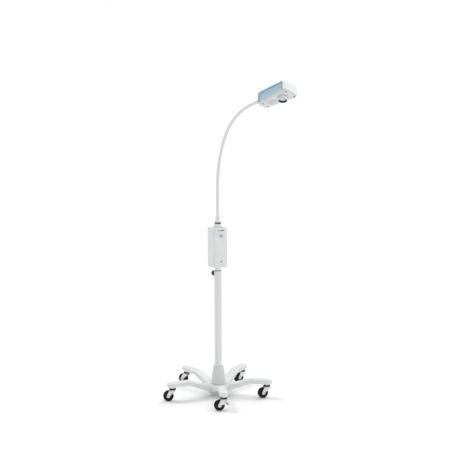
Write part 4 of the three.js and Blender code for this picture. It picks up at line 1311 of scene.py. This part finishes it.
def build_floor():
    reach = 30.0  # metres each way
    corners = [(-reach, -reach), (reach, -reach), (reach, reach), (-reach, reach)]
    vertices = [(x, y, FLOOR) for x, y in corners]
    mesh = bpy.data.meshes.new("floor")
    mesh.from_pydata(vertices, [], [(0, 1, 2, 3)])
    mesh.materials.append(floor_paint("studio_floor"))
    floor = bpy.data.objects.new("floor", mesh)
    bpy.context.scene.collection.objects.link(floor)


def sun(name, azimuth, elevation, strength, softness):
    """A broad distant lamp, seen from the object at an azimuth and elevation."""
    light = bpy.data.lights.new(name, "SUN")
    light.energy = strength
    light.angle = math.radians(softness)
    lamp = bpy.data.objects.new(name, light)
    bpy.context.scene.collection.objects.link(lamp)
    flat = direction_at(azimuth) * math.cos(math.radians(elevation))
    towards = Vector((flat.x, flat.y, math.sin(math.radians(elevation))))
    lamp.rotation_mode = "QUATERNION"
    lamp.rotation_quaternion = (-towards).to_track_quat("-Z", "Y")


AMBIENT = 0.55  # strength of the surround as it lights the object
SEEN_WHITE = 1.0  # and as the camera sees it


def background(tree, strength):
    """A plain white surround of one strength."""
    node = tree.nodes.new("ShaderNodeBackground")
    node.inputs["Color"].default_value = (1.0, 1.0, 1.0, 1.0)
    node.inputs["Strength"].default_value = strength
    return node.outputs[0]


def build_light():
    """A bright even surround, two broad lamps high behind, one overhead and a weak one in front."""
    world = bpy.data.worlds.new("surround")
    bpy.context.scene.world = world
    world.use_nodes = True
    tree = world.node_tree
    tree.nodes.clear()
    ray = tree.nodes.new("ShaderNodeLightPath")
    mix = tree.nodes.new("ShaderNodeMixShader")
    out = tree.nodes.new("ShaderNodeOutputWorld")
    tree.links.new(ray.outputs["Is Camera Ray"], mix.inputs[0])
    tree.links.new(background(tree, AMBIENT), mix.inputs[1])
    tree.links.new(background(tree, SEEN_WHITE), mix.inputs[2])
    tree.links.new(mix.outputs[0], out.inputs["Surface"])
    sun("back_left", -150, 52, 1.0, 30)
    sun("back_right", 110, 48, 0.85, 30)
    sun("above", -30, 75, 0.35, 40)
    sun("front_right", 30, 25, 0.45, 60)


# Where the camera stands: its azimuth, its distance from the pole, its height above the floor, then its aim.
CAMERA_AZIMUTH = -28
CAMERA_DISTANCE = 4.5
CAMERA_HEIGHT = 1.44
CAMERA_PITCH = 7.95
CAMERA_YAW = 0.579
CAMERA_ROLL = -0.25
FOCAL_SHARE = 2.120879  # focal length over the width of the image
SENSOR = 36.0


def swung(first, second, degrees):
    """Two perpendicular directions, both turned from the first towards the second."""
    sine, cosine = math.sin(math.radians(degrees)), math.cos(math.radians(degrees))
    return first * cosine + second * sine, second * cosine - first * sine


def build_camera():
    towards = direction_at(CAMERA_AZIMUTH)
    right = Vector((-towards.y, towards.x, 0))
    forward, up = swung(Vector((-towards.x, -towards.y, 0)), Vector((0, 0, 1)), -CAMERA_PITCH)
    forward, right = swung(forward, right, CAMERA_YAW)
    right, up = swung(right, up, CAMERA_ROLL)
    camera_data = bpy.data.cameras.new("camera")
    camera_data.sensor_width = SENSOR
    camera_data.lens = FOCAL_SHARE * SENSOR
    camera = bpy.data.objects.new("camera", camera_data)
    bpy.context.scene.collection.objects.link(camera)
    place = Matrix((right, up, -forward)).transposed().to_4x4()
    place.translation = (towards.x * CAMERA_DISTANCE, towards.y * CAMERA_DISTANCE, FLOOR + CAMERA_HEIGHT)
    camera.matrix_world = place
    bpy.context.scene.camera = camera


build_stand()
build_castors()
build_column()
build_control_box()
build_neck()
build_neck_foot()
build_head()
dress_cad_nodes()
build_floor()
build_light()
build_camera()
bpy.context.scene.view_settings.view_transform = "Standard"
